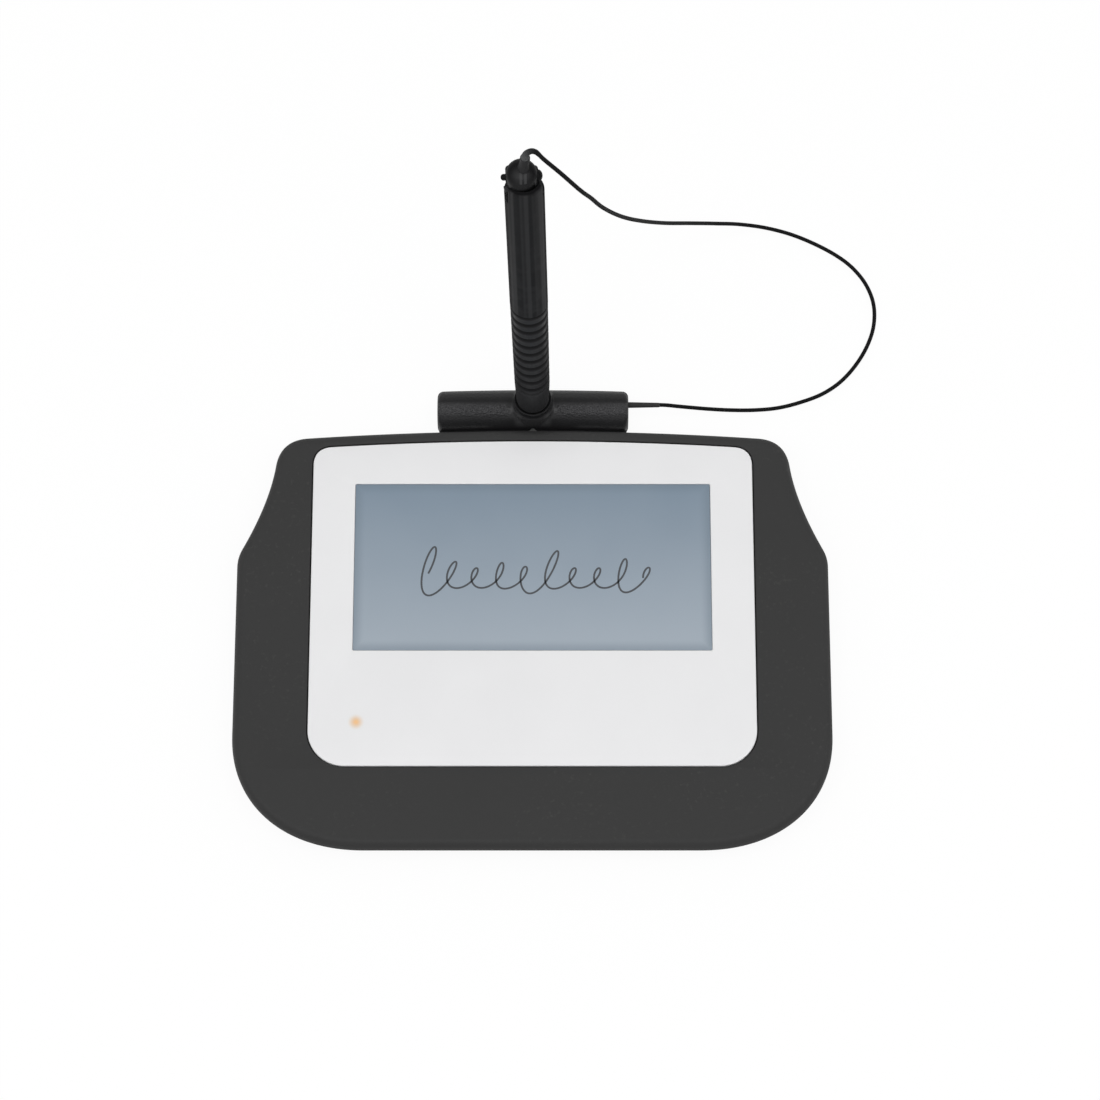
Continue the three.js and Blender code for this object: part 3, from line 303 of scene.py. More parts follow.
# Fields: values in a node tree, with Math nodes made by plain sums and products
class Field:
    def __init__(self, tree, socket):
        self.tree, self.socket = tree, socket

    def maths(self, operation, *others):
        node = self.tree.nodes.new("ShaderNodeMath")
        node.operation = operation
        for slot, value in zip(node.inputs, (self, *others)):
            connect(self.tree, value, slot)
        return Field(self.tree, node.outputs[0])

    def __add__(self, other):
        return self.maths("ADD", other)

    def __sub__(self, other):
        return self.maths("SUBTRACT", other)

    def __mul__(self, other):
        return self.maths("MULTIPLY", other)

    def __truediv__(self, other):
        return self.maths("DIVIDE", other)

    def between(self, low, high):
        return self.maths("MAXIMUM", low).maths("MINIMUM", high)

    def ramp(self, low, high, to_low=0.0, to_high=1.0):
        node = self.tree.nodes.new("ShaderNodeMapRange")
        node.interpolation_type = "SMOOTHSTEP"
        for slot, value in zip(node.inputs, (self, low, high, to_low, to_high)):
            connect(self.tree, value, slot)
        return Field(self.tree, node.outputs[0])

    def fall(self, low, high):
        return self.ramp(low, high, 1.0, 0.0)

    def washed(self, share, colour):
        """This colour, blended by a share with another one."""
        return blended(self.tree, share, self, colour)


def connect(tree, value, slot):
    if isinstance(value, Field):
        tree.links.new(value.socket, slot)
    else:
        slot.default_value = value


def added(tree, kind, inputs=(), **settings):
    """A new node with its settings and inputs, by name."""
    node = tree.nodes.new(kind)
    for name, value in settings.items():
        setattr(node, name, value)
    for name, value in dict(inputs).items():
        connect(tree, value, node.inputs[name])
    return node


def field(tree, kind, inputs=(), output=0, **settings):
    """One output of a new node."""
    return Field(tree, added(tree, kind, inputs, **settings).outputs[output])


def split(tree, vector):
    """X, Y and Z of a vector."""
    return [Field(tree, part) for part in added(tree, "ShaderNodeSeparateXYZ",
                                                {"Vector": vector}).outputs]


def noise(tree, vector, scale, detail):
    return field(tree, "ShaderNodeTexNoise", {"Vector": vector, "Scale": scale, "Detail": detail})


FLOAT, VECTOR, GEOMETRY = "NodeSocketFloat", "NodeSocketVector", "NodeSocketGeometry"
MATERIAL = "NodeSocketMaterial"


def new_tree(name, kind, inputs, outputs):
    """A tree with named sockets, its inputs as fields, and its output node."""
    tree = bpy.data.node_groups.new(name, kind)
    for label, socket_kind, default in inputs:
        socket = tree.interface.new_socket(label, in_out="INPUT", socket_type=socket_kind)
        if default is not None:
            socket.default_value = default
    for label, socket_kind in outputs:
        tree.interface.new_socket(label, in_out="OUTPUT", socket_type=socket_kind)
    entry = tree.nodes.new("NodeGroupInput")
    result = tree.nodes.new("NodeGroupOutput")
    return tree, {o.name: Field(tree, o) for o in entry.outputs if o.name}, result


def effect(name, sizes, *results):
    """A tree that several materials share: it takes a vector and named sizes."""
    inputs = [("Vector", VECTOR, None)] + [(label, FLOAT, size) for label, size in sizes.items()]
    return new_tree(name, "ShaderNodeTree", inputs, [(label, FLOAT) for label in results])


# Effects that several materials share
def moulded_grain():
    tree, given, result = effect("moulded_grain", {"Grain size": 0.5, "Cell share": 0.5},
                                 "Height", "Tone")
    metre = field(tree, "ShaderNodeValue")
    metre.socket.default_value = METRE
    per_metre = metre / given["Grain size"]
    fine = noise(tree, given["Vector"], per_metre, 3.0)
    cells = field(tree, "ShaderNodeTexVoronoi", {"Vector": given["Vector"], "Scale": per_metre},
                  "Distance", feature="SMOOTH_F1")
    broad = noise(tree, given["Vector"], 38.0, 2.0).ramp(0.3, 0.7)
    connect(tree, fine + cells * given["Cell share"], result.inputs["Height"])
    connect(tree, broad * 0.6 + fine * 0.4, result.inputs["Tone"])
    return tree


def handling_wear():
    tree, given, result = effect("handling_wear", {"Reach": 0.5}, "Mask")
    edge = field(tree, "ShaderNodeNewGeometry", output="Pointiness")
    patches = noise(tree, given["Vector"], 260.0, 4.0)
    mask = edge.ramp(0.51, 0.6) * patches.ramp(0.42, 0.68) * given["Reach"]
    connect(tree, mask, result.inputs["Mask"])
    return tree


def settled_dust():
    tree, given, result = effect("settled_dust", {"Amount": 0.1}, "Mask")
    upward = split(tree, field(tree, "ShaderNodeNewGeometry", output="Normal"))[2]
    specks, drifts = (noise(tree, given["Vector"], scale, detail)
                      for scale, detail in ((900.0, 5.0), (30.0, 2.0)))
    mask = specks.ramp(0.55, 0.8) * drifts.ramp(0.35, 0.75)
    connect(tree, mask * upward.ramp(0.3, 1.0) * given["Amount"], result.inputs["Mask"])
    return tree


def braid():
    """Two sets of strands that cross; the vector is (turns round, millimetres along)."""
    tree, given, result = effect("braid", {"Strands": 8.0, "Lay": 0.4}, "Height", "Tone")
    around, along, _ = split(tree, given["Vector"])
    around, along = around * given["Strands"], along * given["Lay"]
    left = ((around + along) * math.tau).maths("SINE")
    right = ((around - along) * math.tau).maths("SINE")
    connect(tree, left.maths("MAXIMUM", right), result.inputs["Height"])
    connect(tree, (left * right).ramp(-0.8, 0.8), result.inputs["Tone"])
    return tree


def painted_sheen_streaks():
    """Painted sheen: soft pale lines along Z that stand in for reflections; the sizes are in
    millimetres.
    """
    tree, given, result = effect("painted_sheen_streaks", {"Width": 1.0, "Length": 50.0}, "Tone")
    x, y, z = (part * METRE for part in split(tree, given["Vector"]))
    stretched = field(tree, "ShaderNodeCombineXYZ", {
        "X": x / given["Width"], "Y": y / given["Width"], "Z": z / given["Length"],
    })
    connect(tree, noise(tree, stretched, 1.0, 0.0).ramp(0.42, 0.7), result.inputs["Tone"])
    return tree


grain_effect, wear_effect, dust_effect = moulded_grain(), handling_wear(), settled_dust()
braid_effect, sheen_streak_effect = braid(), painted_sheen_streaks()


# Materials
def linear(red, green, blue):
    """A written screen colour, 0 to 255, as the shader's own."""
    parts = [v / 255 for v in (red, green, blue)]
    return tuple(v / 12.92 if v <= 0.04045 else ((v + 0.055) / 1.055) ** 2.4
                 for v in parts) + (1.0,)


def blended(tree, share, first, second):
    """Between two colours, each a field or a written screen colour."""
    node = added(tree, "ShaderNodeMix", {0: share}, data_type="RGBA")
    for slot, colour in ((6, first), (7, second)):
        connect(tree, colour if isinstance(colour, Field) else linear(*colour), node.inputs[slot])
    return Field(tree, node.outputs[2])


def grouped(tree, group, inputs):
    """The outputs of a shared effect."""
    node = added(tree, "ShaderNodeGroup", node_tree=group)
    for name, value in inputs.items():
        connect(tree, value, node.inputs[name])
    return {o.name: Field(tree, o) for o in node.outputs}


def grained(tree, vector, size, cells):
    return grouped(tree, grain_effect, {"Vector": vector, "Grain size": size, "Cell share": cells})


def new_material(name):
    material = bpy.data.materials.new(name)
    material.use_nodes = True
    return material, material.node_tree, material.node_tree.nodes["Principled BSDF"]


def object_vector(tree):
    return field(tree, "ShaderNodeTexCoord", output="Object")


def object_place(tree):
    """X, Y and Z on the object in millimetres."""
    return [part * METRE for part in split(tree, object_vector(tree))]


def pen_place(tree):
    """The pen's own coordinates, as a vector in metres and as X, Y and Z in millimetres."""
    vector = field(tree, "ShaderNodeMapping", {
        "Vector": object_vector(tree), "Location": to_row @ pen_frame.translation,
        "Rotation": pen_frame.to_euler(),
    }, vector_type="TEXTURE")
    return vector, [part * METRE for part in split(tree, vector)]


def bumped(tree, shader, height, depth):
    connect(tree, field(tree, "ShaderNodeBump", {"Height": height, "Distance": depth / METRE}),
            shader.inputs["Normal"])


def dulled_edges(tree, shader):
    """A textured finish that loses its sheen where it is seen at a glancing angle."""
    facing = field(tree, "ShaderNodeLayerWeight", {"Blend": 0.5}, "Facing")
    rough = Field(tree, shader.inputs["Roughness"].links[0].from_socket)
    connect(tree, rough.maths("MAXIMUM", facing.ramp(0.55, 0.95, 0.0, 0.95)),
            shader.inputs["Roughness"])


def moulded(name, colour, second, roughness, grain=0.5, depth=0.02, cells=0.5, wear=0.0, dust=0.0,
            metallic=0.0, specular=0.5, dulled=False):
    """A moulded, cast or drawn finish: two close tones, a grain, worn edges and dust."""
    material, tree, shader = new_material(name)
    vector = object_vector(tree)
    surface = grained(tree, vector, grain, cells)
    tone = blended(tree, surface["Tone"], colour, second)
    if wear:
        mask = grouped(tree, wear_effect, {"Vector": vector, "Reach": wear})["Mask"]
        tone = tone.washed(mask, [min(255, v + 40) for v in second])
    if dust:
        mask = grouped(tree, dust_effect, {"Vector": vector, "Amount": dust})["Mask"]
        tone = tone.washed(mask, (196, 192, 186))
    connect(tree, tone, shader.inputs["Base Color"])
    connect(tree, surface["Tone"].ramp(0.2, 0.8, roughness - 0.04, roughness + 0.04),
            shader.inputs["Roughness"])
    shader.inputs["Metallic"].default_value = metallic
    shader.inputs["Specular IOR Level"].default_value = specular
    bumped(tree, shader, surface["Height"], depth)
    if dulled:
        dulled_edges(tree, shader)
    return material


def repainted(material, paint):
    """The material with its base colour passed through paint, a function of tree and colour."""
    tree = material.node_tree
    slot = tree.nodes["Principled BSDF"].inputs["Base Color"]
    connect(tree, paint(tree, Field(tree, slot.links[0].from_socket)), slot)
    return material


def plate_material():
    """Fine matt white, with the indicator light glowing through it."""
    material = moulded("pale_plate", (226, 226, 227), (230, 230, 231), 0.5, grain=0.35,
                       depth=0.004, specular=0.3)
    shader = material.node_tree.nodes["Principled BSDF"]
    low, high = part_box("indicator_led")
    lamp = (low + high) / 2

    def paint(tree, tone):
        offset = field(tree, "ShaderNodeVectorMath", {
            0: object_vector(tree), 1: (lamp.x, lamp.y, pad_top / METRE),
        }, operation="SUBTRACT")
        away = field(tree, "ShaderNodeVectorMath", {0: offset}, "Value", operation="LENGTH") * METRE
        connect(tree, blended(tree, away.fall(0.0, 1.3), (0, 0, 0), (250, 150, 40)),
                shader.inputs["Emission Color"])
        return tone.washed(away.fall(0.1, 2.4) * 0.85, (222, 176, 112))

    shader.inputs["Emission Strength"].default_value = 0.1
    return repainted(material, paint)


def screen_material():
    """Anti-glare surface over a display: blue-grey, paler towards the person, with painted shade
    darker round its edges.
    """
    material, tree, shader = new_material("screen_surface")
    x, y, _ = object_place(tree)
    y = y - (screen_middle + shift)
    tone = blended(tree, (y / screen_depth) * -1.0 + 0.5, (120, 136, 151), (158, 168, 178))
    # Painted shade: the display darker round its edges, under the window's rim.
    side, end = (place.maths("ABSOLUTE").ramp(size / 2 - 3.2, size / 2 + 0.4)
                 for place, size in ((x, screen_width), (y, screen_depth)))
    tone = tone.washed(side.maths("MAXIMUM", end) * 0.55, (104, 118, 130))
    rows = ((y * 3.4) * math.tau).maths("SINE").ramp(-1.0, 1.0)
    tone = tone.washed(rows * 0.035, (90, 104, 118))
    glare = grained(tree, object_vector(tree), 0.16, 0.2)
    connect(tree, tone.washed(glare["Tone"] * 0.05, (205, 214, 222)), shader.inputs["Base Color"])
    connect(tree, glare["Tone"].ramp(0.2, 0.8, 0.42, 0.52), shader.inputs["Roughness"])
    shader.inputs["Specular IOR Level"].default_value = 0.25
    bumped(tree, shader, glare["Height"], 0.003)
    return material


def holder_material():
    """Black plastic with a leather grain along the bar's crest, smooth round the socket, with
    painted shade, painted light and a painted highlight in its tones.
    """
    material = moulded("holder_black", (40, 40, 41), (50, 50, 51), 0.34, grain=0.9, depth=0.0,
                       cells=1.0, wear=0.2, dust=0.04, specular=0.16, dulled=True)

    def paint(tree, tone):
        x, y, height = object_place(tree)
        off_middle, behind = x.maths("ABSOLUTE"), y - (bar_middle + shift)
        drawn_out = field(tree, "ShaderNodeMapping", {
            "Vector": object_vector(tree), "Scale": (0.65, 1.0, 1.0),
        })
        leather = grained(tree, drawn_out, 0.42, 1.3)["Height"]
        crest = behind.ramp(-4.0, -2.4) * behind.fall(-1.4, 0.4)
        strength = off_middle.ramp(5.4, 8.2) * height.ramp(4.0, 6.5) * (crest * 0.85 + 0.15)
        bumped(tree, tree.nodes["Principled BSDF"], leather * strength, 0.26)
        # Painted shade: the bar darker towards its rear and top.
        tone = tone.washed(behind.ramp(-0.8, 0.6) * 0.9, (13, 13, 14))
        # Painted shade: the lower front a little darker than the crest.
        tone = tone.washed(behind.fall(-4.2, -2.6) * 0.8, (36, 36, 37))
        # Painted highlight: the grain's peaks paler along the crest, where the lamp's reflection
        # lies.
        tone = tone.washed(leather.ramp(0.55, 1.3) * strength * 0.35, (70, 70, 72))
        # Painted light: the boss's face below the rim made paler.
        face = off_middle.fall(3.8, 5.6) * behind.fall(-3.0, -1.5) * height.ramp(6.0, 8.5)
        tone = tone.washed(face, (57, 57, 58))
        # Painted shade: the boss's rim round the pen's nose darker.
        return tone.washed(off_middle.fall(5.0, 6.8) * height.ramp(11.6, 12.8), (31, 31, 32))

    return repainted(material, paint)


def grip_material():
    """Black rubber, with painted shade that darkens it down in its grooves."""
    material = moulded("grip_rubber", (34, 34, 35), (42, 42, 43), 0.42, grain=0.3, depth=0.008,
                       wear=0.3, dust=0.04, specular=0.09, dulled=True)
    taper = (grip_top_radius - nose_top_radius) / (grip_top - nose_top)
    foot = nose_top_radius - nose_top * taper

    def paint(tree, tone):
        x, y, along = pen_place(tree)[1]
        radius = (x * x + y * y).maths("SQRT") - along * taper
        # Painted shade down in the grooves.
        return tone.washed(radius.fall(foot - groove_depth * 0.5, foot - 0.01) * 0.9, (12, 12, 13))

    return repainted(material, paint)


def pen_material():
    """Satin black, with painted sheen in pale streaks along the pen that stand in for reflections,
    and painted shade darkening its top end by the cap.
    """
    def paint(tree, tone):
        vector, (_, _, along) = pen_place(tree)
        lines = grouped(tree, sheen_streak_effect, {"Vector": vector, "Width": 1.2, "Length": 300.0})
        # Painted sheen: paler streaks along the pen in place of reflections.
        tone = tone.washed(lines["Tone"] * 0.7, (58, 58, 59))
        # Painted shade: darker at the barrel's top rim, below the cap.
        return tone.washed(along.ramp(front_rim - 1.0, front_rim - 0.2), (17, 17, 18))

    return repainted(moulded("pen_black", (31, 31, 32), (37, 37, 38), 0.5, grain=0.7, depth=0.003,
                             wear=0.3, specular=0.02, dulled=True), paint)


def cap_material():
    """Deep black, with a painted highlight that pales the front of the dome."""
    def paint(tree, tone):
        x, y, along = pen_place(tree)[1]
        aside, before = x + dome_aside, y + dome_highlight_before
        # Painted highlight: a pale patch on the dome's front, where light would fall.
        dome_highlight = (aside * aside + before * before).maths("SQRT").fall(0.4, dome_highlight_reach)
        dome_highlight = dome_highlight * along.ramp(dome_middle - 0.5, dome_middle + 1.0)
        return tone.washed(dome_highlight * 0.8, (52, 52, 53))

    return repainted(moulded("cap_black", (11, 11, 12), (15, 15, 16), 0.42, grain=0.6, depth=0.003,
                             wear=0.25, specular=0.06, dulled=True), paint)


def board_material():
    """Green solder mask over a net of tracks."""
    def paint(tree, tone):
        tracks = field(tree, "ShaderNodeTexBrick", {
            "Vector": object_vector(tree), "Scale": 260.0, "Mortar Size": 0.12,
            "Color1": linear(20, 70, 44), "Color2": linear(26, 88, 54),
            "Mortar": linear(46, 128, 78),
        }, "Color")
        return tone.washed(0.6, tracks)

    return repainted(moulded("solder_mask", (24, 82, 50), (30, 98, 60), 0.35, grain=0.4,
                             depth=0.004), paint)


def woven(name, colour, second, strands, lay, depth, dark_from=None):
    """A braided or woven cover; reads the tube's own map: turns round, millimetres along."""
    material, tree, shader = new_material(name)
    chart = field(tree, "ShaderNodeUVMap", uv_map="along")
    weave = grouped(tree, braid_effect, {"Vector": chart, "Strands": float(strands), "Lay": lay})
    fuzz = grained(tree, object_vector(tree), 0.12, 0.0)
    tone = blended(tree, weave["Tone"] * 0.7 + fuzz["Tone"] * 0.3, colour, second)
    if dark_from:
        along = split(tree, chart)[1]
        tone = tone.washed(along.ramp(dark_from, dark_from + 4.0), (20, 20, 21))
    connect(tree, tone, shader.inputs["Base Color"])
    connect(tree, weave["Tone"].ramp(0.0, 1.0, 0.6, 0.75), shader.inputs["Roughness"])
    shader.inputs["Specular IOR Level"].default_value = 0.06
    bumped(tree, shader, weave["Height"], depth)
    dulled_edges(tree, shader)
    return material


finishes = {
    "cover": moulded("satin_charcoal", (47, 47, 47), (51, 51, 51), 0.6, grain=0.45, depth=0.012,
                     cells=0.6, wear=0.2, dust=0.03, specular=0.16, dulled=True),
    "plate": plate_material(),
    "screen": screen_material(),
    "holder": holder_material(),
    "pen": pen_material(),
    "cap": cap_material(),
    "nose": moulded("nose_rubber", (38, 38, 39), (44, 44, 45), 0.42, grain=0.3, depth=0.004,
                    wear=0.2, specular=0.1, dulled=True),
    # Painted highlight: a paler copy of the cap's black, for the dome's ribs and the key's face.
    "rib_highlight": moulded("cap_rib_highlight", (53, 53, 54), (61, 61, 62), 0.5, grain=0.4, depth=0.003,
                   specular=0.1, dulled=True),
    "grip": grip_material(),
    "nib": moulded("nib_plastic", (38, 39, 42), (48, 49, 52), 0.4, grain=0.3, depth=0.006,
                   wear=0.5),
    "sleeve": woven("grey_weave", (72, 73, 74), (94, 95, 96), 7, 1.1, 0.03, dark_from=5.6),
    "cord": woven("black_braid", (8, 8, 8), (26, 26, 27), 4, 0.75, 0.05),
    "rubber": moulded("black_rubber", (30, 30, 30), (38, 38, 38), 0.75, grain=0.4, depth=0.03,
                      wear=0.2, dust=0.2, specular=0.3),
    "steel": moulded("zinc_steel", (140, 142, 146), (168, 170, 173), 0.34, grain=0.3, depth=0.01,
                     metallic=1.0, wear=0.6),
    "frame": moulded("tin_plate", (176, 180, 184), (196, 199, 202), 0.3, grain=1.2, depth=0.01,
                     metallic=1.0, wear=0.4),
    "gasket": moulded("foam_strip", (28, 30, 32), (44, 46, 48), 0.9, grain=0.35, depth=0.08,
                      cells=1.4),
    "lcd": moulded("display_glass", (112, 124, 136), (124, 136, 148), 0.18, grain=0.8,
                   depth=0.002, cells=0.1),
    "backlight": moulded("diffuser_sheet", (214, 222, 228), (224, 230, 235), 0.42, grain=0.6,
                         depth=0.004),
    "board": board_material(),
    "chip": moulded("chip_epoxy", (24, 25, 27), (34, 35, 37), 0.6, grain=0.25, wear=0.3),
    "connector": moulded("connector_nylon", (212, 205, 188), (222, 216, 200), 0.5, grain=0.3,
                         depth=0.01, wear=0.2),
    "ribbon": moulded("polyimide_film", (160, 96, 40), (180, 112, 52), 0.3, grain=1.5, depth=0.01,
                      cells=0.2),
    "led": moulded("amber_lens", (240, 160, 54), (250, 182, 82), 0.25, grain=0.4, depth=0.004),
    "pipe": moulded("light_guide", (228, 228, 222), (238, 238, 234), 0.22, grain=0.8,
                    depth=0.003),
    "ink": moulded("screen_ink", (56, 59, 63), (64, 67, 71), 0.6, grain=0.3, depth=0.0),
}


# Pieces
def finished(name, mesh, finish, body, replaced=(), crease=34):
    """A finished piece from a mesh in the pad's own frame, in millimetres."""
    mesh.transform(to_row)
    mesh.name = name
    mesh.materials.clear()
    mesh.materials.append(finishes[finish])
    mesh.shade_smooth()
    mesh.set_sharp_from_angle(angle=math.radians(crease))
    piece = bpy.data.objects.new(name, mesh)
    scene.collection.objects.link(piece)
    if replaced:
        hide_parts(*replaced)
    if body:
        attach(piece, body)
    return piece


class Skin:
    """The points and faces of one closed body."""

    def __init__(self):
        self.points, self.faces = [], []

    def ring(self, points):
        first = len(self.points)
        self.points += [tuple(point) for point in points]
        return list(range(first, len(self.points)))

    def wall(self, lower, upper):
        for i, corner in enumerate(lower):
            j = (i + 1) % len(lower)
            self.faces.append((corner, lower[j], upper[j], upper[i]))

    def walls(self, rings):
        """Joins rings of points, given in order, and returns the first and the last."""
        rings = [self.ring(ring) for ring in rings]
        for lower, upper in zip(rings, rings[1:]):
            self.wall(lower, upper)
        return rings[0], rings[-1]

    def cap(self, *loops):
        flat = [i for loop in loops for i in loop]
        corners = [[Vector(self.points[i]) for i in loop] for loop in loops]
        self.faces += [tuple(flat[i] for i in triangle)
                       for triangle in geometry.tessellate_polygon(corners)]

    def mesh(self):
        mesh = bpy.data.meshes.new("skin")
        mesh.from_pydata(self.points, [], self.faces)
        return outwards(mesh)


def outwards(mesh):
    """The mesh with its doubles merged and its faces turned outwards."""
    shape = bmesh.new()
    shape.from_mesh(mesh)
    bmesh.ops.remove_doubles(shape, verts=shape.verts, dist=weld)
    bmesh.ops.recalc_face_normals(shape, faces=shape.faces)
    shape.to_mesh(mesh)
    shape.free()
    return mesh


def closed(rings):
    """A body with walls through the rings and a cap at both ends."""
    skin = Skin()
    for end in skin.walls(rings):
        skin.cap(end)
    return skin.mesh()


def level(outlines):
    """Rings of points from outlines, each (points, height)."""
    return [[(x, y, height) for x, y in outline] for outline, height in outlines]


def stacked(outlines):
    """A closed body of outlines, each (points, height), lowest first."""
    return closed(level(outlines))


def full_turn(count):
    return [math.tau * i / count for i in range(count)]


def quarter_turn(count):
    return [math.pi / 2 * i / count for i in range(count + 1)]


def quarter(count):
    """(inwards, upwards) shares of a rounding, from its foot to its top."""
    return [(1 - math.cos(t), math.sin(t)) for t in quarter_turn(count)]


def turned(profile, sides=fine_sides):
    """A closed turned body about Z from (radius, height) points; on the axis the radius is 0."""
    skin = Skin()
    rings = []
    for radius, height in profile:
        turns = full_turn(sides) if radius > 0 else [0.0]
        rings.append(skin.ring([(radius * math.cos(t), radius * math.sin(t), height)
                                for t in turns]))
    for lower, upper in zip(rings, rings[1:]):
        if len(lower) == 1 or len(upper) == 1:
            tip, ring = (lower[0], upper) if len(lower) == 1 else (upper[0], lower)
            skin.faces += [(tip, ring[i], ring[(i + 1) % sides]) for i in range(sides)]
        else:
            skin.wall(lower, upper)
    return skin.mesh()


def block(width, depth, bottom, top, x=0.0, y=0.0):
    corners = [(x + a * width / 2, y + b * depth / 2)
               for a, b in ((-1, -1), (1, -1), (1, 1), (-1, 1))]
    return stacked([(corners, bottom), (corners, top)])


def moved(mesh, *matrices):
    """The mesh after all the matrices, the last of them first."""
    whole = Matrix.Identity(4)
    for matrix in matrices:
        whole = whole @ matrix
    mesh.transform(whole)
    return mesh


def at(x, y, z=0.0):
    return Matrix.Translation((x, y, z))


def drum(radius, bottom, top, x=0.0, y=0.0, sides=48):
    return moved(turned([(0, bottom), (radius, bottom), (radius, top), (0, top)], sides), at(x, y))


def temporary(mesh):
    holder = bpy.data.objects.new("temporary", mesh)
    scene.collection.objects.link(holder)
    return holder


def evaluated(holder):
    """The mesh that an object's modifiers give; the object is removed."""
    view = bpy.context.evaluated_depsgraph_get()
    mesh = bpy.data.meshes.new_from_object(holder.evaluated_get(view), depsgraph=view)
    bpy.data.objects.remove(holder)
    return mesh


def combined(mesh, others, operation, solver="EXACT"):
    """The mesh with each of the others joined, cut away or kept in common."""
    holder = temporary(mesh)
    tools = [temporary(other) for other in others]
    for tool in tools:
        boolean = holder.modifiers.new("boolean", "BOOLEAN")
        boolean.operation, boolean.solver, boolean.object = operation, solver, tool
    result = evaluated(holder)
    for tool in tools:
        bpy.data.objects.remove(tool)
    return result


# Outlines
def bend(*controls, steps=curve_steps):
    """Points along a Bezier curve of two, three or four control points, without its last."""
    def place(t):
        points = [Vector(point) for point in controls]
        while len(points) > 1:
            points = [a.lerp(b, t) for a, b in zip(points, points[1:])]
        return tuple(points[0])
    count = 1 if len(controls) == 2 else steps
    return [place(i / count) for i in range(count)]


def towards(start, end, distance):
    start, end = Vector(start), Vector(end)
    return tuple(start + (end - start).normalized() * distance)


def mirrored(half):
    """The outline, anticlockwise, from its right half; its straight front needs no middle."""
    return half[1:] + [(-x, y) for x, y in reversed(half[1:-1])]


def pad_outline():
    side = pad_width / 2
    straight, corner_y = side - corner_width, front + corner_depth
    short = 1 - corner_fullness
    arch = rear_arch / (rear_width / 2) ** 2
    arch_end = rear_width / 2 - rear_round
    arch_start = (arch_end, rear - arch * arch_end ** 2)
    waist = (side, rear - waist_from_rear)
    flank = (flank_waist / 2, rear - flank_waist_from_rear)
    corner = (rear_width / 2, rear - arch * arch_end * (arch_end + 2 * rear_round))
    waist_start = (side, waist[1] - waist_round)
    flank_start, flank_end = towards(waist, flank, waist_round), towards(corner, flank, rear_round)
    half = bend((0, front), (straight, front))
    half += bend((straight, front), (side - corner_width * short, front),
                 (side, front + corner_depth * short), (side, corner_y), steps=2 * curve_steps)
    half += bend((side, corner_y), waist_start) + bend(waist_start, waist, flank_start)
    half += bend(flank_start, flank, flank_end) + bend(flank_end, corner, arch_start)
    half += bend(arch_start, (arch_end / 2, rear), (0, rear))
    return mirrored(half + [(0, rear)])


def plate_outline():
    side = plate_width / 2
    arch = plate_arch / side ** 2
    arch_end = side - plate_rear_round
    arch_start = (arch_end, plate_rear - arch * arch_end ** 2)
    corner = (side, plate_rear - arch * arch_end * (arch_end + 2 * plate_rear_round))
    corner_start = (side, corner[1] - plate_rear_round)
    middle = (side - plate_front_round, plate_front + plate_front_round)
    half = [(0, plate_front)]
    half += [(middle[0] + plate_front_round * math.cos(t - math.pi / 2),
              middle[1] + plate_front_round * math.sin(t - math.pi / 2))
             for t in quarter_turn(curve_steps)[:-1]]
    half += bend((side, middle[1]), corner_start) + bend(corner_start, corner, arch_start)
    half += bend(arch_start, (arch_end / 2, plate_rear), (0, plate_rear))
    return mirrored(half + [(0, plate_rear)])


def window_outline(grown_by):
    """The screen's rectangle, grown on each side, with small round corners."""
    half_width, half_depth = screen_width / 2 + grown_by, screen_depth / 2 + grown_by
    points = []
    for corner, (a, b) in enumerate([(1, -1), (1, 1), (-1, 1), (-1, -1)]):
        for step in range(5):
            t = math.pi / 2 * (corner - 1 + step / 4)
            points.append((
                a * (half_width - window_corner) + window_corner * math.cos(t),
                screen_middle + b * (half_depth - window_corner) + window_corner * math.sin(t),
            ))
    return points


def inset(outline, distance):
    moved_in = []
    for i, point in enumerate(outline):
        before, here = Vector(outline[i - 1]), Vector(point)
        after = Vector(outline[(i + 1) % len(outline)])
        along, onward = (here - before).normalized(), (after - here).normalized()
        inward = Vector((-along.y - onward.y, along.x + onward.x)).normalized()
        reach = distance / inward.dot(Vector((-along.y, along.x)))
        moved_in.append(tuple(here + inward * reach))
    return moved_in


def shrunk(outline, distance):
    return [(x * (1 - distance / (pad_width / 2)), y * (1 - distance / rear)) for x, y in outline]


# Housing
def top_cover():
    outline = pad_outline()
    outer = [(inset(outline, skirt_tuck + skirt_round * (1 - a)),
              skirt_bottom + skirt_round * (1 - b))
             for a, b in reversed([(s, 1 - r) for r, s in quarter(4)])]
    outer += [(inset(outline, rim_run * a), widest + rim_drop * b) for a, b in quarter(rim_steps)]
    recess = inset(plate_outline(), -plate_gap)
    hole = [(inset(recess, -recess_lip * (1 - b)), pad_top - recess_lip * a)
            for a, b in quarter(3)]
    skin = Skin()
    foot, brim = skin.walls(level(outer))
    edge, floor = skin.walls(level(hole + [(recess, plate_bottom - fit)]))
    skin.cap(foot)
    skin.cap(brim, edge)
    skin.cap(floor)
    inner, opening = inset(outline, wall + skirt_tuck), window_outline(opening_margin)
    x, y, _ = middle_of("indicator_led")
    cuts = [
        stacked([(inner, skirt_bottom - overrun), (inner, ceiling)]),
        stacked([(opening, ceiling - overrun), (opening, plate_bottom)]),
        drum(guide_radius, ceiling - overrun, plate_bottom, x, y),
    ]
    tab = [(x, rear + y) for x, y in tab_outline]
    tab = stacked([(tab, skirt_bottom + tab_low), (tab, widest + tab_high)])
    mesh = combined(combined(skin.mesh(), cuts, "DIFFERENCE"), [tab], "UNION", "MANIFOLD")
    finished("pad_shell", mesh, "cover", "pad", ["top_cover"])


